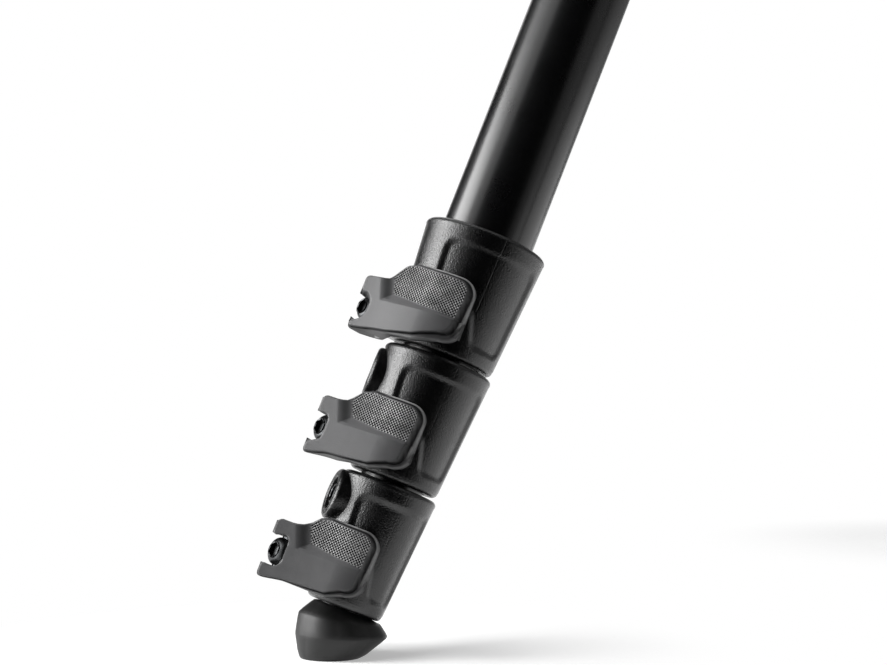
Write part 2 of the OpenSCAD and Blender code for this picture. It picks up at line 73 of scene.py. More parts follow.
# Levers: how far each is lowered, pivot, tip, angles at the two ends of the arc, extra rise of the lower edge
# at the free end, and height there
LEVER_DROP = {1: 1.9, 2: 0.9, 3: 0.0}
PIVOT = {1: (17.5, -5.0), 2: (16.7, -3.2), 3: (16.3, -2.0)}
TIP = {1: (24.0, 1.0), 2: (23.2, 1.1), 3: (22.8, 1.0)}
TANGENT = math.radians(51)
LEVER_END = {1: math.radians(83.5), 2: math.radians(81), 3: math.radians(81)}
LEVER_SKEW = {1: 1.2, 2: 0.5, 3: 0.0}
LEVER_RISE = {1: 18.9, 2: 18.1, 3: 17.6}
# Height at the tips, thickness, radii of the cam and of the room for the bolt's head, rounding of the free
# end and of the edges, and the knurl's pitch and depth with the step between the grid's columns
EAR_H, LEVER_T, CAM_R, CAVITY_R = 12.6, 3.0, 3.9, 5.86
END_ROUND, EDGE_ROUND = 3.6, 0.4
KNURL_PITCH, KNURL_DEPTH, COLUMN_STEP = 0.565, 0.45, 0.135
# Tension bolt: its height and the lever's before the drop, how far back from its frame's origin it ends, the
# heads' widths, and how far the pivot barrel's end stands above the lever's lower edge
BOLT_Z, LEVER_LOW, NUT_BACK = 6.9, 0.9, 9.6
BOLT_HEAD = {1: 6.0, 2: 6.4, 3: 6.6}
BARREL_LIFT = {1: 0.6, 2: 0.3, 3: 0.1}
# Bosses of collars 2 and 3: turn, height, and how far they stand out
BOSS_TURN = {2: math.radians(-9), 3: math.radians(-4)}
BOSS_Z = {2: 22.8, 3: 24.1}
BOSS_PROUD = 1.8
# Shoulder: half of the leg's tongue, running fit, cheek, and how far the pins' heads sit off it
TONGUE_HALF, RUN_FIT, CHEEK, PIN_PROUD = 8, 0.05, 4.5, 0.1
# Column, ball and plate
COLUMN_LOW, COLUMN_TOP, COLUMN_R, COLUMN_BORE = 200.364, 440.364, 12, 10.5
BALL_Z, BALL_R, KNOB_DROP = 472.164, 14, 5
PLATE_Z, PLATE_T, THREAD_PITCH = 499.664, 5, 1.27
# Camera, fitted to the photograph: its width and focal length in pixels, sensor, and place beside the foot
PHOTO_WIDTH, FOCAL_PIXELS, SENSOR = 887, 2000, 36
CAMERA_RIGHT, CAMERA_BACK, CAMERA_UP, CAMERA_TURN = 27.9, 467, 75.8, math.radians(10)


def heading(angle):
    """Unit vector at an angle in plan, and the one square to it on its left."""
    c, s = math.cos(angle), math.sin(angle)
    return np.array([c, s, 0]), np.array([-s, c, 0])


def tube_r(i):
    """Outer radius of leg tube i."""
    return TUBE_R - TUBE_STEP * (i - 1)


def tube_top(i):
    """Height of leg tube i's top end along the leg, from the ground."""
    return FIRST_TOP if i == 1 else SLIDING_TOP - TOP_STEP * (i - 1)


def collar_z(i):
    """Height of collar i's lower rim along the leg."""
    return LOWEST_COLLAR + (3 - i) * COLLAR_PITCH


def collar_r(i, z):
    """Radius of collar i's cone at the height z above its lower rim."""
    low = tube_r(i + 1) + COLLAR_WALL_LOW
    return low + (tube_r(i) + COLLAR_WALL_TOP - low) * z / COLLAR_H


def bolt_z(i):
    """Height of lock i's tension bolt in its collar's frame."""
    return BOLT_Z - LEVER_DROP[i]


def lever_low(i):
    """Height of lever i's lower edge in its collar's frame."""
    return LEVER_LOW - LEVER_DROP[i]


def bolt_frame(i):
    """Origin, X (outwards) and Y of the tension bolt in its collar's frame: the bolt runs past the tube at
    its reach and through the lever's pivot."""
    reach = tube_r(i + 1) + 2.0
    px, py = PIVOT[i]
    angle = math.asin(reach / math.hypot(px, py)) + math.atan2(py, px)
    x, y = heading(angle)
    return -reach * y + np.array([0, 0, bolt_z(i)]), x, y, float(np.dot([px, py, 0], x))


# Surfaces

def ramp(a, b, x):
    """Smooth step: 0 below a, 1 above b, and 3t^2 - 2t^3 between them."""
    t = np.clip((x - a) / (b - a), 0, 1)
    return t * t * (3 - 2 * t)


def outline_distance(u, v, corners):
    """Signed distance of the points (u, v) to a closed polygon, negative inside: the nearest of all its
    edges, and inside where a ray to the right crosses the edges an odd number of times."""
    corners = np.asarray(corners, float)
    nearest = np.full(u.shape, 1e9)
    inside = np.zeros(u.shape, bool)
    for a, b in zip(corners, np.roll(corners, -1, 0)):
        e = b - a
        t = np.clip(((u - a[0]) * e[0] + (v - a[1]) * e[1]) / max(e @ e, 1e-12), 0, 1)
        nearest = np.minimum(nearest, np.hypot(u - a[0] - t * e[0], v - a[1] - t * e[1]))
        if a[1] != b[1]:
            inside ^= ((a[1] > v) != (b[1] > v)) & (u < a[0] + (v - a[1]) * e[0] / e[1])
    return np.where(inside, -nearest, nearest)


def round_over(distance, radius):
    """How deep a rounded edge lies below its flat face: the sagitta of a quarter circle, 0 from radius
    on."""
    d = np.clip(distance, 0, radius)
    return radius - np.sqrt(np.maximum(radius ** 2 - (radius - d) ** 2, 0))


def grid(rows, columns, wrap=False):
    """Quads of a grid of points whose columns close on themselves, and with wrap its rows too."""
    index = np.arange(rows * columns).reshape(rows, columns)
    index = np.hstack([index, index[:, :1]])
    if wrap:
        index = np.vstack([index, index[:1]])
    return np.stack([index[:-1, :-1], index[:-1, 1:], index[1:, 1:], index[1:, :-1]], -1).reshape(-1, 4)


def outward(points, quads, values=None):
    """A shell with its faces turned outwards: they are reversed where the volume under them comes out
    negative."""
    a, b, c, d = (points[quads[:, k]] for k in range(4))
    volume = np.einsum("ij,ij->i", np.cross(c - a, d - b), a + b + c + d).sum()
    if volume < 0:
        quads = quads[:, ::-1]
    return points, quads, np.zeros(len(points)) if values is None else values


def loft(rings, wrap=False, values=None):
    """A closed surface through rings of points, row by row. Without wrap each end is closed by a fan to the
    ring's middle, whose quads have two corners in one point."""
    rings = np.asarray(rings, float)
    rows, columns = rings.shape[:2]
    points, quads = rings.reshape(-1, 3), grid(rows, columns, wrap)
    if not wrap:
        points = np.vstack([points, rings[0].mean(0), rings[-1].mean(0)])
        last = (rows - 1) * columns + np.arange(columns)
        first, low, high = np.arange(columns), rows * columns, rows * columns + 1
        quads = np.vstack([
            quads,
            np.stack([np.roll(first, -1), first, np.full(columns, low), np.full(columns, low)], -1),
            np.stack([last, np.roll(last, -1), np.full(columns, high), np.full(columns, high)], -1),
        ])
        if values is not None:
            values = np.concatenate([np.ravel(values), [0, 0]])
    return outward(points, quads, None if values is None else np.ravel(values))


def turned(profile, steps=96, wrap=False, shape=None):
    """A profile of (radius, height) points turned about +Z. shape(angle, radius, height), where it is
    given, returns the radius for each angle, as for a hexagon or a knob's lobes."""
    profile = np.asarray(profile, float)
    angle = np.linspace(0, 2 * math.pi, steps, endpoint=False)
    r = np.repeat(profile[:, :1], steps, 1)
    if shape:
        r = shape(angle[None, :], r, profile[:, 1:2])
    z = np.repeat(profile[:, 1:2], steps, 1)
    return loft(np.stack([r * np.cos(angle), r * np.sin(angle), z], -1), wrap)


def hexagon(angle, across):
    """Radius of a hexagon with the width given across its flats, at each angle."""
    part = np.mod(angle + math.pi / 6, math.pi / 3) - math.pi / 6
    return across / 2 / np.cos(part)


def bend(a, b, radius, centre_r, centre_z, steps=6):
    """Points of an arc from angle a to b in degrees, for a turned profile."""
    t = np.radians(np.linspace(a, b, steps + 1))
    return [(centre_r + radius * math.cos(x), centre_z + radius * math.sin(x)) for x in t]


def placed(shell, origin=(0, 0, 0), x=(1, 0, 0), y=(0, 1, 0)):
    """A shell moved to an origin, with its X and Y along the directions given, and Z square to both."""
    x, y = np.asarray(x, float), np.asarray(y, float)
    return shell[0] @ np.array([x, y, np.cross(x, y)]) + np.asarray(origin, float), shell[1], shell[2]


def along(shell, origin, axis):
    """A turned shell whose +Z is laid along the axis."""
    axis = np.asarray(axis, float) / np.linalg.norm(axis)
    side = np.array([0, 0, 1.0]) if abs(axis[2]) < 0.9 else np.array([1.0, 0, 0])
    x = np.cross(side, axis)
    x /= np.linalg.norm(x)
    return placed(shell, origin, x, np.cross(axis, x))


def on_collar(shell, i):
    """From a collar's frame to its leg's: turned about the tube, and raised to the collar's place."""
    return placed(shell, (0, 0, collar_z(i)), *heading(math.radians(COLLAR_TURN[i])))


def on_leg(shell, leg):
    """From a leg's frame to the tripod's: the leg leans by LEAN towards the column, from its foot on the
    ground."""
    out, side = heading(math.radians(AZIMUTH[leg]))
    x = math.cos(LEAN) * out + math.sin(LEAN) * np.array([0, 0, 1])
    return placed(shell, FOOT_RADIUS * out, x, side)


def block(x0, x1, y0, y1, z0, z1, edge):
    """A box along X with rounded edges, as rings of a rounded rectangle that shrink at both ends by the
    sagitta of the edge."""
    cy, cz, hy, hz = (y0 + y1) / 2, (z0 + z1) / 2, (y1 - y0) / 2, (z1 - z0) / 2
    angle = np.linspace(0, 2 * math.pi, 64, endpoint=False) + math.pi / 64

    def ring(x, inset):
        c, s = np.cos(angle), np.sin(angle)
        a, b = hy - inset, hz - inset
        reach = (np.abs(c / a) ** 9 + np.abs(s / b) ** 9) ** (-1 / 9)
        return np.stack([np.full(64, x), cy + reach * c, cz + reach * s], -1)

    steps = np.radians(np.linspace(0, 90, 5))
    rings = [ring(x1 - edge + edge * math.sin(t), edge - edge * math.cos(t)) for t in steps]
    rings = rings[::-1] + [ring(x0 + edge - edge * math.sin(t), edge - edge * math.cos(t)) for t in steps]
    return loft(rings)


# Pieces and finishes

def hex_colour(text):
    """An sRGB hex colour turned to linear light."""
    parts = [int(text[k:k + 2], 16) / 255 for k in (1, 3, 5)]
    return tuple(x / 12.92 if x <= 0.04045 else ((x + 0.055) / 1.055) ** 2.4 for x in parts) + (1.0,)


def add_object(name, data):
    """A new object for a mesh, lamp or camera, linked to the scene."""
    obj = bpy.data.objects.new(name, data)
    bpy.context.scene.collection.objects.link(obj)
    return obj


def add_piece(name, mesh, body, nodes, material, crease):
    """A smooth-shaded object that rides on a body and stands for the CAD nodes."""
    mesh.polygons.foreach_set("use_smooth", np.ones(len(mesh.polygons), bool))
    mesh.set_sharp_from_angle(angle=math.radians(crease))
    mesh.materials.clear()
    mesh.materials.append(material)
    obj = add_object(name, mesh)
    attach(obj, body)
    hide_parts(*nodes)
    return obj


def piece(name, shells, body, nodes, material, crease=35):
    """Joins closed shells, in millimetres, into one mesh object in metres that stands for the CAD nodes."""
    points, faces, wear_and_painted_light, start = [], [], [], 0
    for p, q, w in shells:
        points.append(p)
        faces.append(q + start)
        wear_and_painted_light.append(w)
        start += len(p)
    points, quads, wear_and_painted_light = np.vstack(points) * MM, np.vstack(faces), np.concatenate(wear_and_painted_light)
    # Quads with two corners in one point are the triangles of an end's fan
    back = quads[:, 0] == quads[:, 1]
    fan = back | (quads[:, 2] == quads[:, 3])
    tris = np.where(back[fan][:, None], quads[fan][:, 1:], quads[fan][:, :3])
    quads = quads[~fan]
    mesh = bpy.data.meshes.new(name)
    mesh.vertices.add(len(points))
    mesh.vertices.foreach_set("co", points.ravel())
    corners = np.concatenate([quads.ravel(), tris.ravel()]).astype(np.int32)
    starts = np.concatenate([np.arange(len(quads)) * 4, 4 * len(quads) + np.arange(len(tris)) * 3])
    mesh.loops.add(len(corners))
    mesh.loops.foreach_set("vertex_index", corners)
    mesh.polygons.add(len(starts))
    mesh.polygons.foreach_set("loop_start", starts.astype(np.int32))
    mesh.update(calc_edges=True)
    mesh.validate()
    # The point attribute carries rubbed wear, painted highlight and painted shade for the material
    edge = mesh.attributes.new("edge_wear_and_painted_light", "FLOAT", "POINT")
    edge.data.foreach_set("value", wear_and_painted_light.astype(np.float32))
    return add_piece(name, mesh, body, nodes, material, crease)


def eased_copy(name, node, body, material, width, crease=30):
    """A merged copy of a CAD node's mesh whose sharp edges get a small rounded bevel, and which replaces
    it."""
    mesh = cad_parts[node].data.copy()
    mesh.name = name
    work = bmesh.new()
    work.from_mesh(mesh)
    bmesh.ops.remove_doubles(work, verts=work.verts, dist=2e-6)
    bmesh.ops.dissolve_limit(work, angle_limit=math.radians(0.6), verts=work.verts, edges=work.edges)
    work.to_mesh(mesh)
    work.free()
    obj = add_piece(name, mesh, body, [node], material, crease)
    bevel = obj.modifiers.new("eased edges", "BEVEL")
    bevel.width, bevel.segments, bevel.limit_method = width * MM, 2, "ANGLE"
    bevel.angle_limit = math.radians(crease)
    bevel.use_clamp_overlap = True
    bevel.harden_normals = True
    return obj


def feed(tree, made, **inputs):
    """Feeds a node's inputs by name, or by number as _0 and _1, from a socket, from a node's first output,
    or with a plain value."""
    for key, value in inputs.items():
        socket = made.inputs[int(key[1:])] if key[0] == "_" else made.inputs[key.replace("_", " ")]
        if isinstance(value, bpy.types.Node):
            value = value.outputs[0]
        if isinstance(value, bpy.types.NodeSocket):
            tree.links.new(value, socket)
        else:
            socket.default_value = value


def node(tree, kind, **values):
    """Adds one shader node to a tree. Names in lower case are its properties, and the others its inputs."""
    made = tree.nodes.new("ShaderNode" + kind)
    for key in [key for key in values if key[0].islower()]:
        setattr(made, key, values.pop(key))
    feed(tree, made, **values)
    return made


def finish_material(name, colour, rubbed_and_lit_colour, roughness, grain_mm, grain_depth_mm, mottle_mm, spread, metallic=0.0,
                    coat=0.0, coat_roughness=0.1, rubbed_and_lit_share=0.6):
    """One painted, moulded or turned finish: a linear colour that drifts a little in patches of mottle_mm,
    a lighter colour where the point attribute is high, which is rubbed wear on edges and painted highlight
    on the levers' lip and knurl tops, painted shade where it is negative, which darkens the colour and
    dims the specular, and a grain of grain_mm that lifts the surface by grain_depth_mm."""
    made = bpy.data.materials.new(name)
    made.use_nodes = True
    tree = made.node_tree
    shader = tree.nodes["Principled BSDF"]
    place = node(tree, "TexCoord").outputs["Object"]
    mottle = node(tree, "TexNoise", Vector=place, Scale=1 / (mottle_mm * MM), Detail=4.0)
    grain = node(tree, "TexNoise", Vector=place, Scale=1 / (grain_mm * MM), Detail=2.0)
    wear_and_painted_light = node(tree, "Attribute", attribute_name="edge_wear_and_painted_light").outputs["Fac"]
    # The lighter colour: rubbed wear on edges, and painted highlight where the levers' lip and knurl tops are
    # lightened
    rubbed_and_lit = node(tree, "Math", operation="MULTIPLY", _0=wear_and_painted_light, _1=mottle)
    # Painted shade: a negative attribute darkens the base colour down to 0.12 of itself
    painted_shade = node(tree, "MapRange", Value=wear_and_painted_light, From_Min=-1.0, From_Max=0.0, To_Min=0.12, To_Max=1.0)
    drift = node(tree, "MapRange", Value=mottle, From_Min=0.3, From_Max=0.7,
                 To_Min=1 - spread, To_Max=1 + spread)
    shade = node(tree, "Math", operation="MULTIPLY", _0=drift, _1=painted_shade)
    base = node(tree, "VectorMath", operation="SCALE", _0=tuple(colour), Scale=shade)
    amount = node(tree, "Math", operation="MULTIPLY", use_clamp=True, _0=rubbed_and_lit, _1=rubbed_and_lit_share)
    mixed = node(tree, "Mix", data_type="RGBA", Factor=amount, _6=base, _7=hex_colour(rubbed_and_lit_colour))
    rough = node(tree, "MapRange", Value=mottle, From_Min=0.3, From_Max=0.7, To_Min=roughness - 0.04,
                 To_Max=roughness + 0.04)
    bump = node(tree, "Bump", Height=grain, Distance=grain_depth_mm * MM, Strength=1.0)
    feed(tree, shader, Base_Color=mixed.outputs[2], Roughness=rough, Normal=bump, Coat_Normal=bump,
         Metallic=metallic, Coat_Weight=coat, Coat_Roughness=coat_roughness)
    if not metallic:
        # In the painted shade the specular is dimmed as well
        shine = node(tree, "Math", operation="MULTIPLY", _0=painted_shade, _1=0.5)
        feed(tree, shader, IOR=1.5, Specular_IOR_Level=shine)
    return made


def finishes(tones):
    """All the tripod's finishes by name, made once."""
    if "painted_aluminium" not in bpy.data.materials:
        # Drawn aluminium tube with a satin black baked paint: smooth, with a soft sheen and hardly any grain.
        # The grain was first set 0.12 mm wide, and is drawn coarser so that it shows
        finish_material("painted_aluminium", tones.tube, "#3a3b3d", 0.3, 0.4, 0.0015, 9, 0.06, coat=0.6,
                        coat_roughness=0.22)
        # Glass-filled nylon from a spark-eroded tool: glossy skin over a pebble grain that catches the light.
        # The grain was first set 0.26 mm wide and 0.018 mm deep, and is drawn coarser so that it shows
        finish_material("moulded_glass_nylon", tones.collar, "#1c1d1e", 0.3, 0.34, 0.13, 6, 0.08, coat=0.5,
                        coat_roughness=0.2)
        # Filled nylon of the levers, charcoal through and through, matt from a fine etched tool. The grain was
        # first set 0.12 mm wide and 0.004 mm deep, and is drawn coarser so that it shows
        # Its light colour, mixed in strongly, is rubbed wear on the edges and painted highlight on the lip and
        # the knurl's tops
        finish_material("moulded_nylon_charcoal", tones.lever, "#d6d6d6", 0.47, 0.3, 0.02, 4, 0.09,
                        rubbed_and_lit_share=1.5)
        # Moulded rubber: soft and dark, with a broad dull sheen. The grain was first set 0.2 mm wide, and is
        # drawn a little coarser so that it shows
        finish_material("moulded_rubber", tones.rubber, "#3b3b3c", 0.5, 0.25, 0.012, 5, 0.12)
        # Blackened steel screws: dark, fairly glossy metal from an oil bath
        finish_material("blackened_steel", tones.steel, "#8d8f92", 0.3, 0.3, 0.002, 2, 0.15, metallic=1.0)
        # Die-cast aluminium with a black powder coat: fine orange-peel skin
        finish_material("powder_coated_casting", tones.casting, "#454648", 0.42, 0.45, 0.012, 8, 0.08,
                        coat=0.2, coat_roughness=0.35)
        # ABS knobs from a polished tool with a light texture
        finish_material("moulded_abs", tones.knob, "#4a4b4d", 0.4, 0.2, 0.006, 5, 0.06)
        # Turned aluminium, clear anodised: bright grey metal with a faint tool pattern
        finish_material("anodised_aluminium", tones.ball, "#c4c6c8", 0.28, 0.1, 0.001, 3, 0.05, metallic=1.0)
    return bpy.data.materials


# Shapes of the legs

def tube_shell(i):
    """Leg tube i as a turned wall with small lips at its ends."""
    low = 4.0 if i == 4 else collar_z(i) + STOP_H
    high, r, wall = tube_top(i), tube_r(i), TUBE_WALL
    outer = [(r - wall, low), (r - 0.3, low), (r, low + 0.3)]
    outer += [(r, z) for z in np.linspace(low + 0.6, high - 0.6, 24)]
    outer += [(r, high - 0.3), (r - 0.3, high), (r - wall, high)]
    inner = [(r - wall, z) for z in np.linspace(high - 0.5, low + 0.5, 8)]
    return turned(outer + inner, 128, wrap=True)


def bush_shell(i):
    """Guide bush on the top end of a sliding tube: a thin ring with a groove round its middle."""
    high = tube_top(i)
    r, out, low = tube_r(i) + 0.02, tube_r(i) + 0.47, high - BUSH_H
    return turned([(r, low), (out - 0.2, low), (out, low + 0.3), (out, high - 7), (out - 0.2, high - 6.8),
                   (out - 0.2, high - 5.2), (out, high - 5), (out, high - 0.3), (out - 0.2, high), (r, high)],
                  96, wrap=True)


def panel_field(i, angle, z):
    """Depth share of the panel sunk into a collar's side: 1 on its floor, falling over a soft fillet to 0,
    by the distance to a rounded outline whose lower left side slants round the lever's bed."""
    middle = collar_r(i, COLLAR_H / 2)
    corners = [(56, 23.6), (141, 23.6), (141, 6.2), (113, 6.2), (103, 12.4), (76, 16.6), (56, 19)]
    corners = [(math.radians(a) * middle, b) for a, b in corners]
    return 1 - ramp(-0.9, 0.9, outline_distance(angle * middle, z, corners) - 2.4)


def collar_shells(i, depth):
    """Lock collar: a cone with rounded rims turned about the tube, whose radius is lowered by the sunk
    panel, the mould seam, the split and the slot over it. The two clamp lugs and the boss are closed shells
    in it."""
    low, high = collar_r(i, 0), collar_r(i, COLLAR_H)
    outer = bend(-90, 0, RIM, low - RIM, RIM)
    outer += [(collar_r(i, z), z) for z in np.linspace(RIM, COLLAR_H - RIM, 76)[1:-1]]
    outer += bend(0, 90, RIM, high - RIM, COLLAR_H - RIM)
    r0, r1 = tube_r(i) + 0.03, tube_r(i + 1) + 0.05
    inner = [(r0 + 0.5, COLLAR_H), (r0, COLLAR_H - 0.5), (r0, 24), (r0, STOP_H), (r1, STOP_H), (r1, 9),
             (r1, 0.4), (r1 + 0.4, 0)]
    rows = np.array(outer + inner)
    bolt, bx, by, reach = bolt_frame(i)
    split = math.atan2(-bx[0], bx[1])
    # Angles: even all round, with extra columns at the split's edges and the seam's
    even = np.linspace(-math.pi, math.pi, 320, endpoint=False)
    marks = [(split, 0.6 / low), (SEAM, 0.14 / low)]
    extra = [m + k * w for m, w in marks for k in (-1.6, -1.04, -0.96, 0, 0.96, 1.04, 1.6)]
    angle = np.unique(np.round(np.concatenate([even, extra]), 5))
    a, z = np.meshgrid(angle, rows[:, 1])
    r = np.repeat(rows[:, :1], len(angle), 1)
    skin = np.zeros(len(rows))
    skin[:len(outer)] = ramp(0, 0.9, np.minimum(rows[:len(outer), 1], COLLAR_H - rows[:len(outer), 1]) + 0.15)
    skin = skin[:, None]
    r -= skin * depth * panel_field(i, a, z)
    seam = np.abs(a - SEAM) * low
    seam_deep = {1: 0.07, 2: 0.03, 3: 0.03}[i]
    r -= skin * seam_deep * (1 - ramp(0.03, 0.16, seam)) * ramp(12, 12.6, z)
    slant = [(JOG * low, 10.6), (SEAM * low, 12.3), (SEAM * low, 12.5), (JOG * low, 10.8)]
    jog = outline_distance(a * low, z, slant)
    r -= skin * seam_deep * (1 - ramp(0.02, 0.2, jog))
    off = np.abs(np.mod(a - split + math.pi, 2 * math.pi) - math.pi)
    cut = (off * low < 0.61) & (z < SPLIT_H) & (skin > 0)
    slot = (off < math.radians(55)) & (z > SPLIT_H - 0.8) & (z < SPLIT_H) & (skin > 0)
    r = np.where(cut | slot, r1 + 0.35, r)
    if i > 1:
        side = np.hypot((a - BOSS_TURN[i]) * collar_r(i, BOSS_Z[i]), z - BOSS_Z[i])
        r -= np.where(skin > 0, 0.5 * (1 - ramp(3.9, 4.3, side)), 0)
    rims = np.where(skin > 0, 1 - ramp(0.3, 1.6, np.minimum(z, COLLAR_H - z)), 0)
    rim_line = ((50, 26.4), (147, 26.4), (147, 3.4), (106, 3.4), (94, 10.8), (50, 16.6))
    edge = outline_distance(a * low, z, [(math.radians(t) * low, h) for t, h in rim_line])
    wear_and_painted_light = np.clip(rims + 0.5 * (1 - ramp(0.2, 0.9, np.abs(edge))), 0, 1)
    shells = [loft(np.stack([r * np.cos(a), r * np.sin(a), z], -1), wrap=True, values=wear_and_painted_light)]
    # Clamp lugs either side of the split
    for x0, x1 in ((-NUT_BACK, -0.6), (0.6, reach - CAM_R - RUN_FIT)):
        shells.append(placed(block(x0, x1, -3.8, tube_r(i + 1) * 0.25, -3.9, 5.1, 0.7), bolt, bx, by))
    if i > 1:
        out = heading(BOSS_TURN[i])[0]
        top = collar_r(i, BOSS_Z[i]) + BOSS_PROUD
        base = collar_r(i, BOSS_Z[i]) - 2.2
        ring = [(6.2, base), (6.2, top - 1.2)] + bend(0, 90, 1.0, 5.2, top - 1.0) \
            + [(4.3, top), (4.0, top - 0.3), (4.0, top - 2.2)]
        shells.append(along(turned(ring, 72), (0, 0, BOSS_Z[i]), out))
    return shells


def lever_shell(i, pad_depth):
    """Flip lever: a slab between an outer and an inner wall, over columns t from its free end to its tips
    and rows up the leg. The outer wall is an arc and then a straight run. Its depth field adds the rounded
    edges, the plateau's edge with the thin lip round it, the sunk thumb pad with slanted sides, and the
    knurl, which is the product of two sine waves at 45 degrees. Cells in the notch are left out, and the
    open borders are walled across."""
    s51, c51 = math.sin(TANGENT), math.cos(TANGENT)
    low, rise, skew = lever_low(i), LEVER_RISE[i], LEVER_SKEW[i]
    inner_r = collar_r(i, rise + low) + 0.5
    outer_r = inner_r + LEVER_T
    px, py = PIVOT[i]
    tip_t, tip_n = TIP[i][0] * s51 - TIP[i][1] * c51, TIP[i][0] * c51 + TIP[i][1] * s51
    end = -outer_r * math.sin(LEVER_END[i] - TANGENT)
    mid = bolt_z(i) - low
    # Where the notch begins, heights of its roof and floor there, further on and at the tips, the lower ear's
    # sag, the pad's left edge, and the share of the pad's depth that is left at the free end
    notch_t = {1: 14.5, 2: 13.9, 3: 12.7}[i]
    roof_line = {1: (8.3, 8.9, 8.95), 2: (9.2, 9.15, 9.1), 3: (10.2, 10.0, 9.35)}[i]
    floor_line = {1: (3.0, 2.3, 1.6), 2: (2.8, 2.55, 1.85), 3: (3.0, 2.3, 2.5)}[i]
    sag = {1: 0.4, 2: 1.0, 3: 0.9}[i]
    pad_left = {1: 9.35, 2: 8.7, 3: 8.0}[i]
    fade = {1: 0.35, 2: 0.2, 3: 0.05}[i]
    turn = end + END_ROUND

    def end_arc(t):
        return np.sqrt(np.maximum(END_ROUND ** 2 - (turn - t) ** 2, 0))

    def bottom(t):
        slope = np.where(t > 0, skew * (1 - t / (tip_t + 3)), skew + 1.6 * t / turn)
        arc = skew + 1.6 + END_ROUND - end_arc(t)
        tip = round_over(tip_t - t, 1.0) - sag * ramp(10, tip_t, t)
        return np.where(t < turn, arc, slope) + tip

    def top(t):
        arc = rise - END_ROUND + end_arc(t)
        keys = np.array([0.3, 0.47, 0.57, 0.66, 0.73, 0.8, 1.0]) * tip_t
        line = np.interp(t, keys, [rise, rise - 0.9, rise - 2.6 if i > 1 else rise - 2.9, EAR_H + 1.3,
                                   EAR_H + 0.9, EAR_H + 0.75, EAR_H + (0.75 if i > 1 else 0.45)])
        return np.where(t < turn, arc, line) - round_over(tip_t - t, 1.1)

    def lip_low(t):
        heights = [2.1, 1.4, 0.45, 0.22] if i == 1 else [1.25, 1.0, 0.45, 0.22]
        return np.interp(t, [end, 0.2 * end, 7, 14], heights)

    def corner(t):
        return round_over(t - notch_t, 1.5)

    def notch_floor(t):
        line = np.interp(t, [notch_t, notch_t + 1.5, tip_t - 0.8], floor_line)
        return np.where(t < notch_t, mid - 1.2, line + corner(t) - round_over(tip_t - t, 0.9))

    def notch_roof(t):
        line = np.interp(t, [notch_t, notch_t + 1.5, tip_t - 0.8], roof_line)
        return np.where(t < notch_t, mid + 1.2, line - corner(t) + round_over(tip_t - t, 0.9))

    bow = np.arcsin(np.clip(-end / outer_r, 0, 1)) * outer_r
    first = end + 1.0 - np.cos(np.linspace(0, math.pi / 2, 9))[:-1] * 1.0
    left = pad_left + 0.5
    arc_t = -outer_r * np.sin(np.arange(bow, 0, -COLUMN_STEP) / outer_r)
    columns = np.concatenate([first, arc_t[arc_t > end + 1.0], np.arange(0, left, COLUMN_STEP),
                              np.arange(left, notch_t - 0.2, 0.3),
                              notch_t + 1.5 * (1 - np.cos(np.linspace(0, math.pi / 2, 7))),
                              np.linspace(notch_t + 1.5, tip_t - 1.1, 4)[1:-1],
                              tip_t - 1.1 * np.cos(np.linspace(0, math.pi / 2, 10))])
    t = np.unique(np.round(columns, 4))
    # Rows: below the plateau's edge, across its step, up to the notch, through the notch, and on to the top
    near_edge = np.array([0, 0.008, 0.02, 0.045])
    rows_low = np.linspace(0, 1, 5)
    rows_step = np.array([-0.12, -0.08, -0.04, 0, 0.04, 0.08, 0.14, 0.22, 0.34])
    rows_up = np.linspace(0.07, 1, 9)
    rows_b = np.linspace(0, 1, 9)
    rows_c = np.concatenate([np.linspace(0, 1 - 0.06, 86), 1 - near_edge[::-1]])

    def levels(tt, k1, k2):
        k0, k3 = bottom(tt), top(tt)
        kp = k0 + lip_low(tt)
        a = np.hstack([k0[:, None] + (kp - 0.16 - k0)[:, None] * rows_low, kp[:, None] + rows_step,
                       (kp + 0.34)[:, None] + (k1 - kp - 0.34)[:, None] * rows_up])
        b = (k1 + 0.02)[:, None] + (k2 - k1 - 0.04)[:, None] * rows_b
        c = k2[:, None] + (k3 - k2)[:, None] * rows_c
        return np.hstack([a, b, c])

    z = levels(t, notch_floor(t), notch_roof(t))
    na, nb = len(rows_low) + len(rows_step) + len(rows_up), len(rows_b)
    tt = np.repeat(t[:, None], z.shape[1], 1)
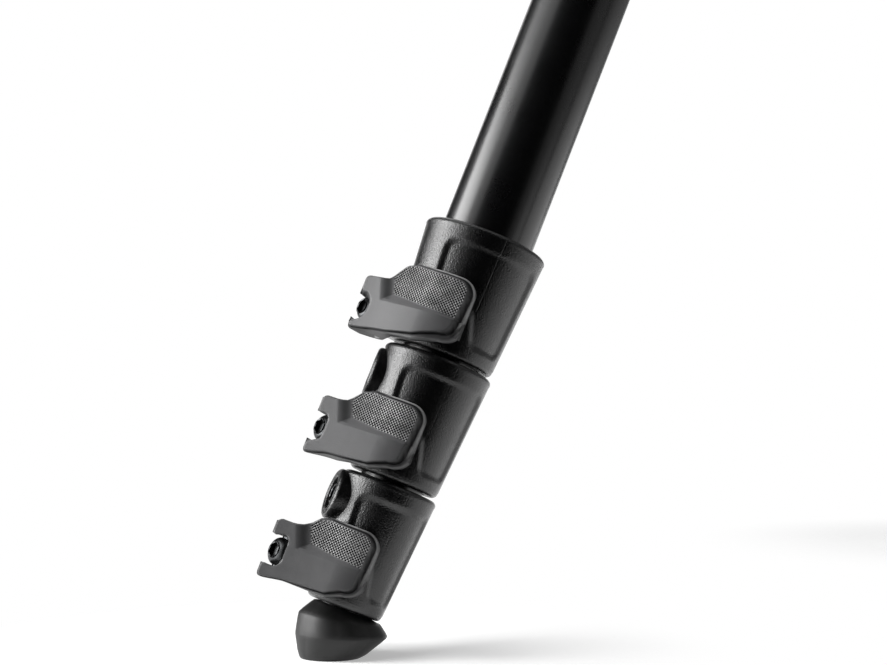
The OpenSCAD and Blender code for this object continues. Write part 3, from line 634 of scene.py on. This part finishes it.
    # Depth below the outer wall: the plateau's step, its lip, the pad, the knurl and the rounded edges
    outline = np.concatenate([np.stack([t, bottom(t)], -1),
                              np.stack([t[::-1], notch_floor(t[::-1])], -1)[t[::-1] >= notch_t],
                              np.stack([t, notch_roof(t)], -1)[t >= notch_t],
                              np.stack([t[::-1], top(t[::-1])], -1)])
    edge = np.abs(outline_distance(tt, z, outline))
    lip_depth = 1.5 - 0.7 * ramp(end + 1, 1, tt) - 0.5 * ramp(0, 9, tt)
    lip_top = np.interp(tt, [end, 0, 9, 14], [0.8, 0.7, 0.25, 0.1])
    sides = np.stack([z - bottom(tt) - lip_low(tt), tt - end - 0.45 - 0.95 * np.clip(1 - z / 16, 0, 1) * 1.1,
                      top(tt) - lip_top - z])
    plateau = -0.45 * np.log(np.exp(-sides / 0.45).sum(0))
    depth = lip_depth * (1 - ramp(-0.12, 0.1, plateau))
    crown = round_over(np.clip(plateau - 0.08, 0, 9), 0.3) * 0.7
    facet_z = 7.9 + 0.5 * (pad_left - tt) / 16
    floor_z = np.interp(tt, [end, -1, pad_left], [8.75, 9.15, 10.2])
    facet_t = pad_left + 2.35 + 0.42 * (z - 8)
    floor_t = pad_left + 0.4 * (z - 10.2)
    up = np.clip((z - facet_z) / np.maximum(floor_z - facet_z, 0.3), 0, 1)
    across = np.clip((facet_t - tt) / (facet_t - floor_t), 0, 1)
    both = np.minimum(up, across)
    pad = 0.6 * both + 0.4 * both * both * (3 - 2 * both)
    depth = depth + crown + pad * pad_depth * np.interp(tt, [end, 0, 7], [fade, 0.5 + fade / 2, 1])
    run = np.where(tt < 0, -np.arcsin(np.clip(-tt / outer_r, 0, 1)) * outer_r, tt)
    inside = np.minimum(np.minimum(z - floor_z, (floor_t - tt) * 0.9), plateau - 0.1)
    u = (run + z) * math.pi / math.sqrt(2) / KNURL_PITCH
    v = (run - z) * math.pi / math.sqrt(2) / KNURL_PITCH
    pits = ramp(0.1, 0.5, inside) * (np.abs(np.sin(u) * np.sin(v))) ** 1.3
    depth += KNURL_DEPTH * pits
    depth += round_over(edge, EDGE_ROUND)
    radius = outer_r - depth
    share = np.clip(tt / tip_t, 0, 1)
    run_share = share ** 2.2 if i == 3 else 0.3 * share + 0.7 * ramp(0, 1, share)
    n = np.where(tt < 0, np.sqrt(np.maximum(radius ** 2 - tt ** 2, 0)),
                 outer_r + (tip_n - outer_r) * run_share - depth)
    outer = np.stack([tt * s51 + n * c51, -tt * c51 + n * s51, z + low], -1)
    # Inner wall: round the collar, then down to the cam and along under the ears to the tips
    cam = [(px + CAM_R * math.cos(x), py + CAM_R * math.sin(x)) for x in np.radians(np.linspace(200, 300, 9))]
    arc = [(inner_r * math.cos(x), inner_r * math.sin(x)) for x in np.radians(np.linspace(51, 20, 7))]
    ear_path = np.array(arc + cam + [(TIP[i][0] - 0.3, TIP[i][1] - 1.3)])
    ear_keys = np.concatenate([np.linspace(0, 5, 7), np.linspace(8.5, 13.5, 9), [tip_t]])
    start = math.degrees(math.atan2(math.sqrt(max(CAVITY_R ** 2 - 2.8 ** 2, 0)), 2.8))
    turns = np.radians(np.linspace(118, start, 7))
    cavity = [(px + CAVITY_R * math.cos(x), py + CAVITY_R * math.sin(x)) for x in turns]
    notch_path = np.array(arc + cavity)
    notch_keys = np.concatenate([np.linspace(0, 5, 7), np.linspace(6.5, notch_t, 7)])

    def inner_at(path, keys):
        x, y = np.interp(t, keys, path[:, 0]), np.interp(t, keys, path[:, 1])
        bowed = np.sqrt(np.maximum(inner_r ** 2 - t ** 2, 0))
        x = np.where(t < 0, t * s51 + bowed * c51, x)
        y = np.where(t < 0, -t * c51 + bowed * s51, y)
        return x, y

    ex, ey = inner_at(ear_path, ear_keys)
    nx, ny = inner_at(notch_path, notch_keys)
    own = np.clip(np.where(t < 0, t, ex * s51 - ey * c51), end, tip_t - 0.05)
    grown = np.interp(t, [4, 8], [1.3, 3.6])
    zi = levels(own, mid - grown, mid + np.minimum(grown, roof_line[0] - mid))
    zi[t < 0] = z[t < 0]
    zi[:, :na] = levels(t, mid - grown, mid + grown)[:, :na]
    inner = np.stack([*(np.repeat(e[:, None], z.shape[1], 1) for e in (ex, ey)), zi + low], -1)
    in_notch = slice(na, na + nb)
    inner[:, in_notch, 0], inner[:, in_notch, 1] = nx[:, None], ny[:, None]
    keep = np.ones((len(t) - 1, z.shape[1] - 1), bool)
    keep[t[:-1] >= notch_t - 1e-6, na - 1:na + nb] = False
    # Light and shade in the point attribute: rubbed wear lightens the edges; painted highlight lightens the
    # lip
    #     # on its upper side, and with rubbed wear the knurl's tops; painted shade darkens the plateau's step,
    #     the
    #     # knurl's pits, the pad's steep side and the inner face
    wear_and_painted_light = 0.22 * (1 - ramp(0.1, 0.6, edge)) * (1 - ramp(11, 13, tt))
    # Painted shade: a dark line along the plateau's step
    wear_and_painted_light -= 1.0 * (1 - ramp(0.05, 0.3, np.abs(plateau + 0.12)))
    # Painted highlight: the lip is lightened only on its upper side, where the light falls
    wear_and_painted_light += 0.5 * (1 - ramp(0.1, 0.35, np.abs(plateau + 0.65))) * (1 - ramp(-2, 6, tt)) * ramp(3.5, 7, z)
    # The knurl's tops are lightened, partly as rubbed wear and partly as painted highlight, and its pits
    # darkened as painted shade
    wear_and_painted_light += 1.3 * ramp(0.1, 0.5, inside) * (1 - pits) ** 2.4 - 2.1 * pits
    # Painted shade on the pad's steep side
    wear_and_painted_light -= 0.45 * ramp(0.1, 0.5, across) * (1 - ramp(0.6, 1, across)) * (up > 0.3)
    # Painted shade over the whole inner face, deepest from the middle on towards the tips
    inner_painted_shade = -0.2 - 0.75 * ramp(1, 5, tt)
    return slab(outer, inner, keep, np.clip(wear_and_painted_light, -1, 1), inner_painted_shade)


def slab(outer, inner, keep, wear_and_painted_light, inner_painted_shade):
    """Closes two grids of points over the kept cells: both faces, and a wall across every border between a
    kept cell and none, found as the edges that only one kept cell has. The outer face's points carry the
    wear and painted light values given, and the inner face's the painted shade."""
    rows, columns = outer.shape[:2]
    index = np.arange(rows * columns).reshape(rows, columns)
    quads = np.stack([index[:-1, :-1], index[1:, :-1], index[1:, 1:], index[:-1, 1:]], -1)[keep]
    a, b = quads.ravel(), np.roll(quads, -1, 1).ravel()
    total = rows * columns
    code, back = a * total + b, b * total + a
    border = ~np.isin(code, back)
    a, b = a[border], b[border]
    walls = np.stack([b, a, a + total, b + total], -1)
    faces = np.vstack([quads, quads[:, ::-1] + total, walls])
    used, faces = np.unique(faces, return_inverse=True)
    points = np.vstack([outer.reshape(-1, 3), inner.reshape(-1, 3)])[used]
    values = np.concatenate([np.ravel(wear_and_painted_light), np.ravel(inner_painted_shade)])[used]
    return outward(points, faces.reshape(-1, 4), values)


def button_head(origin, axis, diameter, shank, length, socket, height=1.8):
    """Button-head screw: a shank, a domed head as a circular arc, and a hexagonal socket sunk in its
    middle."""
    r, top = diameter / 2, length + height
    dome = [(0.02, 0), (shank / 2, 0), (shank / 2, length - 0.01), (r - 0.15, length), (r, length + 0.15)]
    dome += [(r * math.cos(t) * 0.999 + 0.001, length + 0.3 + (height - 0.3) * math.sin(t))
             for t in np.radians(np.linspace(8, 52, 7))]
    rim = len(dome)
    dome += [(socket / 2 * 1.2, top), (socket / 2, top - 0.12), (socket / 2, top - 1.2)]

    def shape(angle, radius, z):
        made = radius.copy()
        made[rim + 1:] = hexagon(angle, socket)
        return made

    return along(turned(dome, 72, shape=shape), origin, axis)


def fitting_shells(i):
    """Tension bolt with its nut, the lever's pivot barrel, and for locks 2 and 3 the clamp screw and the
    guide bush of the tube of the same number."""
    bolt, bx, _, reach = bolt_frame(i)
    shells = [button_head(bolt - NUT_BACK * bx, bx, BOLT_HEAD[i], 3, reach + 3.1 + NUT_BACK, 3.2)]
    nut = [(2.0, 0), (2.75, 0), (3.0, 0.3), (3.0, 2.1), (2.75, 2.4), (2.0, 2.4)]
    shells.append(along(turned(nut, 72, shape=lambda a, r, z: np.minimum(hexagon(a, 6.0), 3.4) * r / 3.0),
                        bolt - 9.5 * bx, bx))
    low = lever_low(i) + BARREL_LIFT[i]
    barrel = [(2.6, low), (3.0, low + 0.35), (3.0, low + EAR_H - 1.2), (2.6, low + EAR_H - 0.8)]
    shells.append(placed(turned(barrel, 64), (PIVOT[i][0], PIVOT[i][1], 0)))
    if i > 1:
        out = heading(BOSS_TURN[i])[0]
        r = tube_r(i) + 0.02
        face = collar_r(i, BOSS_Z[i]) + BOSS_PROUD
        shells.append(button_head(r * out + np.array([0, 0, BOSS_Z[i]]), out, 7.6, 4, face - 2.1 - r, 3.4))
    return [on_collar(s, i) for s in shells] + ([bush_shell(i)] if i > 1 else [])


def foot_shell():
    """Rubber foot: rings from the flat sole through the crease at its widest to the neck, each with its own
    centre, tilt and radius; the corners between them are cut twice to round them, and eight soft facets run
    up its sides."""
    c, s = math.cos(LEAN), math.sin(LEAN)

    def upright(x, z, r, tilt):
        return [x * c + z * s, -x * s + z * c, r, LEAN + math.radians(tilt)]

    # Each ring is centre x, centre z, radius and tilt in the leg's frame; the sole is flat on the ground
    rings = np.array([
        upright(-1.6, 0, 5.0, 0), upright(-1.6, 0, 7.2, 0), [-1.33, 1.88, 8.2, math.radians(17.8)],
        [-2.0, 6.35, 11.0, math.radians(18.9)], [-0.05, 9.73, 9.85, math.radians(12.2)],
        [0.3, 12.0, 6.8, 0.04], [0, 12.0, 6.1, 0]])
    for share in (0.07, 0.24):
        a, b = rings[:-1], rings[1:]
        cut = np.stack([(1 - share) * a + share * b, share * a + (1 - share) * b], 1).reshape(-1, 4)
        rings = np.vstack([rings[:1], cut, rings[-1:]])
    angle = np.linspace(0, 2 * math.pi, 128, endpoint=False)
    x0, z0, r, tilt = (rings[:, k:k + 1] for k in range(4))
    facet = 1 - 0.02 * (1 - np.abs(np.cos(4 * angle))) * ramp(7.0, 8.2, r)
    u, y = r * facet * np.cos(angle), r * facet * np.sin(angle)
    x, z = x0 + u * np.cos(tilt), z0 - u * np.sin(tilt)
    return loft(np.stack([x, y, z], -1))


# Operators

def tone(name, description, text):
    """A colour property whose default is given as sRGB hex."""
    return bpy.props.FloatVectorProperty(name=name, description=description, subtype="COLOR", min=0, max=1,
                                         default=hex_colour(text)[:3])


class TripodTones(bpy.types.PropertyGroup):
    """Colours and sizes that a user would change."""
    tube: tone("Tube", "Paint of the leg tubes", "#0b0b0c")
    collar: tone("Collar", "Plastic of the lock collars", "#0a0a0b")
    lever: tone("Lever", "Plastic of the flip levers", "#535354")
    rubber: tone("Rubber", "Rubber of the feet", "#121212")
    steel: tone("Steel", "Blackened steel of the screws", "#48494a")
    casting: tone("Casting", "Powder coat of the castings", "#151516")
    knob: tone("Knob", "Plastic of the knobs", "#1d1d1e")
    ball: tone("Ball", "Anodised aluminium of the ball", "#9c9c9d")
    panel_depth: bpy.props.FloatProperty(name="Panel depth", description="Depth of the collars' sunk panels",
                                         default=0.7 * MM, min=0.2 * MM, max=0.9 * MM, unit="LENGTH")
    pad_depth: bpy.props.FloatProperty(name="Pad depth", description="Depth of the levers' sunk thumb pads",
                                       default=1.25 * MM, min=0.4 * MM, max=1.4 * MM, unit="LENGTH")


def leg_pieces(part, finish, shells, body, material, crease=35):
    """The same piece on all three legs. body(leg) is the body that carries it."""
    for leg in LEGS:
        node_name = f"leg_{leg}_{part}"
        piece(f"{node_name}_{finish}", [on_leg(s, leg) for s in shells], body(leg), [node_name],
              material, crease)


def section_body(leg, i):
    """The body that carries section i of a leg."""
    return f"leg_{leg}" if i == 1 else f"leg_{leg}_section_{i}"


class TRIPOD_OT_leg_tubes(bpy.types.Operator):
    """Leg tubes and the guide bush on the last one"""
    bl_idname = "tripod.leg_tubes"
    bl_label = "Leg tubes"

    def execute(self, context):
        paint = finishes(context.scene.tripod)["painted_aluminium"]
        for leg in LEGS:
            for i in TUBES:
                shells = [tube_shell(i)] + ([bush_shell(4)] if i == 4 else [])
                piece(f"leg_{leg}_tube_{i}_painted", [on_leg(s, leg) for s in shells], section_body(leg, i),
                      [f"leg_{leg}_tube_{i}"], paint)
        return {"FINISHED"}


class TRIPOD_OT_lock_collars(bpy.types.Operator):
    """Lock collars with their sunk panels, lugs and bosses"""
    bl_idname = "tripod.lock_collars"
    bl_label = "Lock collars"

    def execute(self, context):
        tones = context.scene.tripod
        skin = finishes(tones)["moulded_glass_nylon"]
        for i in LOCKS:
            shells = [on_collar(s, i) for s in collar_shells(i, tones.panel_depth / MM)]
            leg_pieces(f"collar_{i}", "moulded", shells, lambda leg: section_body(leg, i),
                       skin)
        return {"FINISHED"}


class TRIPOD_OT_flip_levers(bpy.types.Operator):
    """Flip levers with their knurled thumb pads"""
    bl_idname = "tripod.flip_levers"
    bl_label = "Flip levers"

    def execute(self, context):
        tones = context.scene.tripod
        skin = finishes(tones)["moulded_nylon_charcoal"]
        for i in LOCKS:
            shells = [on_collar(lever_shell(i, tones.pad_depth / MM), i)]
            leg_pieces(f"lever_{i}", "moulded", shells, lambda leg: f"leg_{leg}_lock_{i}", skin,
                       crease=42)
        return {"FINISHED"}


class TRIPOD_OT_lock_fittings(bpy.types.Operator):
    """Tension bolts, nuts, pivot barrels, clamp screws and guide bushes"""
    bl_idname = "tripod.lock_fittings"
    bl_label = "Lock fittings"

    def execute(self, context):
        steel = finishes(context.scene.tripod)["blackened_steel"]
        for i in LOCKS:
            leg_pieces(f"fittings_{i}", "steel", fitting_shells(i), lambda leg: section_body(leg, i),
                       steel)
        return {"FINISHED"}


class TRIPOD_OT_rubber_feet(bpy.types.Operator):
    """Moulded rubber feet"""
    bl_idname = "tripod.rubber_feet"
    bl_label = "Rubber feet"

    def execute(self, context):
        rubber = finishes(context.scene.tripod)["moulded_rubber"]
        leg_pieces("foot", "rubber", [foot_shell()], lambda leg: section_body(leg, 4), rubber,
                   crease=50)
        return {"FINISHED"}


class TRIPOD_OT_leg_tops(bpy.types.Operator):
    """Hips and angle selectors at the tops of the legs"""
    bl_idname = "tripod.leg_tops"
    bl_label = "Leg tops"

    def execute(self, context):
        made = finishes(context.scene.tripod)
        for leg in LEGS:
            name = f"leg_{leg}_angle_selector"
            eased_copy(f"leg_{leg}_hip_cast", f"leg_{leg}_hip", f"leg_{leg}",
                       made["powder_coated_casting"], 0.7)
            eased_copy(f"{name}_moulded", name, f"leg_{leg}_selector",
                       made["moulded_nylon_charcoal"], 0.6)
        return {"FINISHED"}


class TRIPOD_OT_shoulder(bpy.types.Operator):
    """Shoulder casting and the legs' hinge pins"""
    bl_idname = "tripod.shoulder"
    bl_label = "Shoulder"

    def execute(self, context):
        made = finishes(context.scene.tripod)
        eased_copy("shoulder_cast", "shoulder", "shoulder", made["powder_coated_casting"], 0.5)
        half = TONGUE_HALF + RUN_FIT + CHEEK + PIN_PROUD
        shells = []
        for leg in LEGS:
            out, side = heading(math.radians(AZIMUTH[leg]))
            at = HINGE_RADIUS * out + np.array([0, 0, HINGE_Z])
            shells.append(button_head(at - (half + 2) * side, side, 12, 8, 2 * half + 2, 4, height=2.2))
            cap = [(3.0, 0), (5.4, 0), (6.0, 0.6), (6.0, 1.8), (5.6, 2.2), (4, 2.2)]
            shells.append(along(turned(cap, 72), at - (half + 2.2) * side, side))
        piece("hinge_pins_steel", shells, "shoulder", ["hinge_pins"], made["blackened_steel"])
        return {"FINISHED"}


def lobed_knob(diameter, thickness, shaft, length, lobes=6):
    """Star knob on its shaft: a turned profile with rounded edges, whose radius is scooped between the
    lobes by a power of a cosine round it."""
    r, z0, z1 = diameter / 2, length, length + thickness
    profile = [(shaft / 2, 0), (shaft / 2, z0), (r * 0.62, z0)] + bend(-60, 0, 1.2, r - 1.2, z0 + 2.2, 4) \
        + [(r, z) for z in np.linspace(z0 + 3, z1 - 2, 5)] + bend(0, 80, 1.6, r - 1.6, z1 - 1.7, 5) \
        + [(r * 0.72, z1 - 0.1), (r * 0.66, z1 - 0.5), (r * 0.3, z1 - 0.6)]

    def shape(angle, radius, z):
        scoop = (0.5 + 0.5 * np.cos(lobes * angle)) ** 1.6
        return radius * (1 - 0.13 * scoop * ramp(z0 + 1, z0 + 3, z) * ramp(0.5 * r, 0.8 * r, radius))

    return turned(profile, 144, shape=shape)


class TRIPOD_OT_centre_column(bpy.types.Operator):
    """Centre column with its bottom hook and lock knob"""
    bl_idname = "tripod.centre_column"
    bl_label = "Centre column"

    def execute(self, context):
        made = finishes(context.scene.tripod)
        low, high = COLUMN_LOW, COLUMN_TOP
        tube = [(COLUMN_BORE, low), (11.7, low), (COLUMN_R, low + 0.3)]
        tube += [(COLUMN_R, z) for z in np.linspace(low + 1, high - 1, 16)]
        tube += [(COLUMN_R, high - 0.3), (11.7, high), (COLUMN_BORE, high)]
        tube += [(COLUMN_BORE, z) for z in np.linspace(high - 1, low + 1, 5)]
        piece("column_tube_painted", [turned(tube, 128, wrap=True)], "column", ["column_tube"],
              made["painted_aluminium"])
        cap = [(10.4, low + 12), (10.4, low + 0.02), (12.5, low), (13.5, low - 1)] \
            + bend(0, -80, 2.2, 11.3, low - 3.8) + [(4, low - 6)]
        # Loop for a bag: a ring of 7 mm radius and 1.8 mm wire
        t, u = (np.linspace(0, 2 * math.pi, steps)[:-1] for steps in (65, 25))
        t, u = np.meshgrid(t, u, indexing="ij")
        r = 7 + 1.8 * np.cos(u)
        ring = np.stack([r * np.cos(t), 1.8 * np.sin(u), low - 12 + r * np.sin(t)], -1)
        piece("column_hook_moulded", [turned(cap, 96), loft(ring, wrap=True)], "column", ["column_hook"],
              made["moulded_abs"])
        knob = along(lobed_knob(24, 15, 8, 15), (0, -12.1, HINGE_Z + 4), (0, -1, 0))
        piece("column_lock_knob_moulded", [knob], "column_knob", ["column_lock_knob"],
              made["moulded_abs"])
        return {"FINISHED"}


class TRIPOD_OT_ball_head(bpy.types.Operator):
    """Ball head, camera plate and camera screw"""
    bl_idname = "tripod.ball_head"
    bl_label = "Ball head"

    def execute(self, context):
        made = finishes(context.scene.tripod)
        cast = made["powder_coated_casting"]
        top = COLUMN_TOP
        base = [(10.4, top - 14), (10.4, top - 0.02), (14.5, top), (20.6, top + 4.7)] \
            + bend(-30, 0, 1.0, 20, top + 6) + [(21, top + 9)] + bend(0, 90, 0.8, 20.2, top + 9.2, 4) \
            + [(7, top + 10), (7, top + 14.6)]
        piece("head_base_cast", [turned(base, 128)], "column", ["head_base"], cast)
        eased_copy("ball_housing_cast", "ball_housing", "head", cast, 0.4)
        reach = math.sqrt(BALL_R ** 2 - KNOB_DROP ** 2) + 0.3
        place = (0, -reach - 0.6, BALL_Z - KNOB_DROP)
        knob = along(lobed_knob(19, 12, 6, 18.5 - reach + 1.4, 5), place, (0, -1, 0))
        piece("ball_lock_knob_moulded", [knob], "head_knob", ["ball_lock_knob"],
              made["moulded_abs"])
        ball = bend(-88, 64, BALL_R, 0, BALL_Z, 40) + bend(180, 90, 1.2, 6.7, BALL_Z + 14.2, 4)[:1] \
            + [(5.5, BALL_Z + 14), (5.5, BALL_Z + 18.6), (6.2, BALL_Z + 19.5), (13.4, BALL_Z + 19.5),
               (14, BALL_Z + 20), (14, BALL_Z + 21.5), (13.5, BALL_Z + 22), (1, BALL_Z + 22)]
        piece("ball_stem_anodised", [turned(ball, 128)], "ball", ["ball_stem"],
              made["anodised_aluminium"])
        z0, z1 = PLATE_Z, PLATE_Z + PLATE_T
        plate = [(3.23, z0), (18.8, z0), (19.6, z0 + 0.4), (20, z0 + 1)]
        plate += [(20, z) for z in np.linspace(z0 + 1.4, z1 - 1.2, 4)]
        plate += [(19.6, z1 - 0.5), (19, z1), (3.23, z1)]
        shells = [turned(plate, 144, wrap=True,
                         shape=lambda a, r, z: r - 0.25 * ramp(19.8, 20, r) * np.abs(np.sin(36 * a)) ** 2)]
        for k in range(3):
            post = [(1.5, z0 - 5.48), (1.5, z0 - 3), (1.5, z0 + 0.02)]
            shells.append(placed(turned(post, 32), 12.3 * heading(math.radians(60 + 120 * k))[0]))
        piece("camera_plate_cast", shells, "ball", ["camera_plate"], cast)
        pad = [(6.2, z1 + 0.02), (18.5, z1 + 0.02), (18.5, z1 + 0.7), (18.2, z1 + 1.02)]
        for r in np.linspace(17.4, 7.4, 11):
            pad += [(r + 0.3, z1 + 1.02), (r + 0.15, z1 + 0.72), (r - 0.15, z1 + 0.72), (r - 0.3, z1 + 1.02)]
        pad += [(6.4, z1 + 1.02), (6.2, z1 + 0.8)]
        piece("plate_pad_rubber", [turned(pad, 128, wrap=True)], "ball", ["plate_pad"],
              made["moulded_rubber"])
        low = z0 - 5.2
        wheel = [(2.9, low), (9.6, low), (10.5, low + 0.8), (10.5, low + 2.4), (10.5, low + 4.1),
                 (9.6, low + 4.9), (2.775, low + 4.9)]
        tip = low + 5.2 + 5 + 5.6
        thread = np.linspace(low + 11.45, tip - 0.2, 50)
        screw = wheel + [(2.775, low + 11.4)] + [(3.175, z) for z in thread] + [(2.4, tip)]

        def shape(angle, r, z):
            turn = THREAD_PITCH * angle / (2 * math.pi)
            wave = np.abs(np.mod((z - turn) / THREAD_PITCH, 1) - 0.5) * 2
            cut = 0.55 * wave * ramp(low + 11.4, low + 11.9, z) * (r > 3) * (r < 3.3)
            return r - cut - 0.3 * (r > 10.4) * np.abs(np.sin(24 * angle)) ** 2

        piece("camera_screw_wheel_anodised", [turned(screw, 144, shape=shape)], "camera_screw",
              ["camera_screw_wheel"], made["anodised_aluminium"])
        return {"FINISHED"}


def soft_light(name, at, to, wide, tall, power):
    """Rectangular studio lamp that faces a point."""
    lamp = bpy.data.lights.new(name, "AREA")
    lamp.shape, lamp.size, lamp.size_y, lamp.energy = "RECTANGLE", wide, tall, power
    obj = add_object(name, lamp)
    obj.location = at
    obj.rotation_euler = (Vector(to) - Vector(at)).to_track_quat("-Z", "Y").to_euler()
    return obj


def seen_share(tree):
    """A node that gives 1 for the rays that are seen, straight on or in gloss or glass, and 0 for those
    that light."""
    path = node(tree, "LightPath").outputs
    seen = path["Is Camera Ray"]
    for kind in ("Is Glossy Ray", "Is Transmission Ray"):
        seen = node(tree, "Math", operation="ADD", use_clamp=True, _0=seen, _1=path[kind])
    return seen


def white_card():
    """Matt white card, lit as it is near the feet and plain white further off. It throws back less light
    than it shows, so it doesn't fill the black pieces' undersides."""
    card = bpy.data.materials.new("white_card")
    card.use_nodes = True
    tree = card.node_tree
    tree.nodes.remove(tree.nodes["Principled BSDF"])
    seen = seen_share(tree)
    place = node(tree, "TexCoord").outputs["Object"]
    far = 9.0
    for leg in LEGS:
        spot = FOOT_RADIUS * MM * heading(math.radians(AZIMUTH[leg]))[0]
        reach = node(tree, "VectorMath", operation="DISTANCE", _0=place, _1=spot).outputs["Value"]
        far = node(tree, "Math", operation="MINIMUM", _0=far, _1=reach)
    far = node(tree, "MapRange", interpolation_type="SMOOTHSTEP", Value=far, From_Min=0.035, From_Max=0.1,
               To_Min=0.0, To_Max=1.0)
    cast = node(tree, "BsdfDiffuse", Color=hex_colour("#e8e8e8"))
    glow = node(tree, "Emission", Color=(1, 1, 1, 1), Strength=0.38)
    plain = node(tree, "Emission", Color=(1, 1, 1, 1), Strength=1.0)
    near = node(tree, "AddShader", _0=cast, _1=glow)
    near = node(tree, "MixShader", _0=far, _1=near, _2=plain)
    dim = node(tree, "BsdfDiffuse", Color=hex_colour("#9a9a9a"))
    both = node(tree, "MixShader", _0=seen, _1=dim, _2=near)
    feed(tree, tree.nodes["Material Output"], Surface=both)
    return card


def black_cloth(name, **inputs):
    """Black studio cloth, with further inputs of its shader set by name."""
    made = bpy.data.materials.new(name)
    made.use_nodes = True
    shader = made.node_tree.nodes["Principled BSDF"]
    feed(made.node_tree, shader, Base_Color=hex_colour("#050505"), **inputs)
    return made


def flag(name, points, cloth):
    """A stage sheet through two rows of points that only the gloss sees."""
    mesh = bpy.data.meshes.new(name)
    row = len(points) // 2
    mesh.from_pydata(points, [], [(k, k + 1, k + row + 1, k + row) for k in range(row - 1)])
    mesh.materials.append(cloth)
    obj = add_object(name, mesh)
    obj.visible_camera = obj.visible_diffuse = obj.visible_shadow = obj.visible_transmission = False


class TRIPOD_OT_studio(bpy.types.Operator):
    """White floor, plain world, lamps and the camera"""
    bl_idname = "tripod.studio"
    bl_label = "Studio"

    def execute(self, context):
        scene = context.scene
        right, ahead = (Vector(way) for way in heading(CAMERA_TURN))
        foot = Vector(heading(math.radians(AZIMUTH[1]))[0]) * FOOT_RADIUS
        camera = add_object("camera", bpy.data.cameras.new("camera"))
        camera.location = (foot + CAMERA_RIGHT * right - CAMERA_BACK * ahead + Vector((0, 0, CAMERA_UP))) * MM
        camera.rotation_euler = (math.radians(90), 0, CAMERA_TURN)
        camera.data.sensor_fit, camera.data.sensor_width = "HORIZONTAL", SENSOR
        camera.data.lens = FOCAL_PIXELS * SENSOR / PHOTO_WIDTH
        camera.data.clip_start = 0.01
        scene.camera = camera
        scene.view_settings.view_transform = "Standard"
        mesh = bpy.data.meshes.new("floor")
        mesh.from_pydata([(-6, -6, 0), (6, -6, 0), (6, 6, 0), (-6, 6, 0)], [], [(0, 1, 2, 3)])
        floor = add_object("floor", mesh)
        mesh.materials.append(white_card())
        world = bpy.data.worlds.new("white_room")
        scene.world = world
        world.use_nodes = True
        back = world.node_tree.nodes["Background"]
        level = node(world.node_tree, "MapRange", Value=seen_share(world.node_tree), To_Min=0.12, To_Max=1.0)
        feed(world.node_tree, back, Strength=level, Color=(1, 1, 1, 1))
        aim = Vector((-0.12, -0.08, 0.12))

        def spot(middle, turn, reach):
            return middle + reach * (right * math.sin(turn) - ahead * math.cos(turn))

        # Flags keep the black pieces' middles black, as in a product studio
        wide, tall = 1.1, 1.5
        black = black_cloth("black_flag", Roughness=1.0, Specular_IOR_Level=0.0)
        grey = black_cloth("grey_drape", Emission_Color=(1, 1, 1, 1), Emission_Strength=0.2)
        for name, start, stop, cloth in (("flag_front", -42, 48, black), ("drape_right", 48, 160, grey),
                                         ("flag_left", -160, -115, black)):
            row = [spot(aim, t, wide) for t in np.radians(np.linspace(start, stop, 25))]
            flag(name, [(p.x, p.y, z) for z in (0.0, tall) for p in row], cloth)
        turns = np.radians(np.linspace(-42, 62, 25))
        for name, z, middle, inner in (("flag_lid", tall, aim, 0.0), ("flag_table", 0.004, foot * MM, 0.07)):
            rows = [spot(middle, t, reach) for reach in (inner, wide) for t in turns]
            flag(name, [(p.x, p.y, z) for p in rows], black)

        def around(turn, reach, height):
            return spot(aim, math.radians(turn), reach) + Vector((0, 0, height))

        soft_light("softbox_left", around(-90, 0.66, 0.12), aim, 0.5, 0.6, 7.4)
        soft_light("softbox_top", around(-62, 0.5, 0.78), aim, 0.5, 0.35, 5.6).visible_glossy = False
        soft_light("fill_right", around(75, 0.8, 0.1), aim, 0.3, 0.6, 0.4).visible_glossy = False
        return {"FINISHED"}


STEPS = (TRIPOD_OT_leg_tubes, TRIPOD_OT_lock_collars, TRIPOD_OT_flip_levers, TRIPOD_OT_lock_fittings,
         TRIPOD_OT_rubber_feet, TRIPOD_OT_leg_tops, TRIPOD_OT_shoulder, TRIPOD_OT_centre_column,
         TRIPOD_OT_ball_head, TRIPOD_OT_studio)


class TRIPOD_PT_pieces(bpy.types.Panel):
    """Lists the tripod's pieces in the sidebar"""
    bl_idname = "TRIPOD_PT_pieces"
    bl_label = "Camera tripod"
    bl_space_type = "VIEW_3D"
    bl_region_type = "UI"
    bl_category = "Tripod"

    def draw(self, context):
        tones = context.scene.tripod
        for key in TripodTones.__annotations__:
            self.layout.prop(tones, key)
        for step in STEPS:
            self.layout.operator(step.bl_idname)


CLASSES = (TripodTones,) + STEPS + (TRIPOD_PT_pieces,)


def register():
    """Registers the classes and the scene's own properties."""
    for cls in CLASSES:
        bpy.utils.register_class(cls)
    bpy.types.Scene.tripod = bpy.props.PointerProperty(type=TripodTones)


def unregister():
    """Takes back what register added."""
    del bpy.types.Scene.tripod
    for cls in reversed(CLASSES):
        bpy.utils.unregister_class(cls)


def main():
    """Runs every operator in order."""
    register()
    for step in STEPS:
        group, name = step.bl_idname.split(".")
        getattr(getattr(bpy.ops, group), name)()


if __name__ == "__main__":
    main()
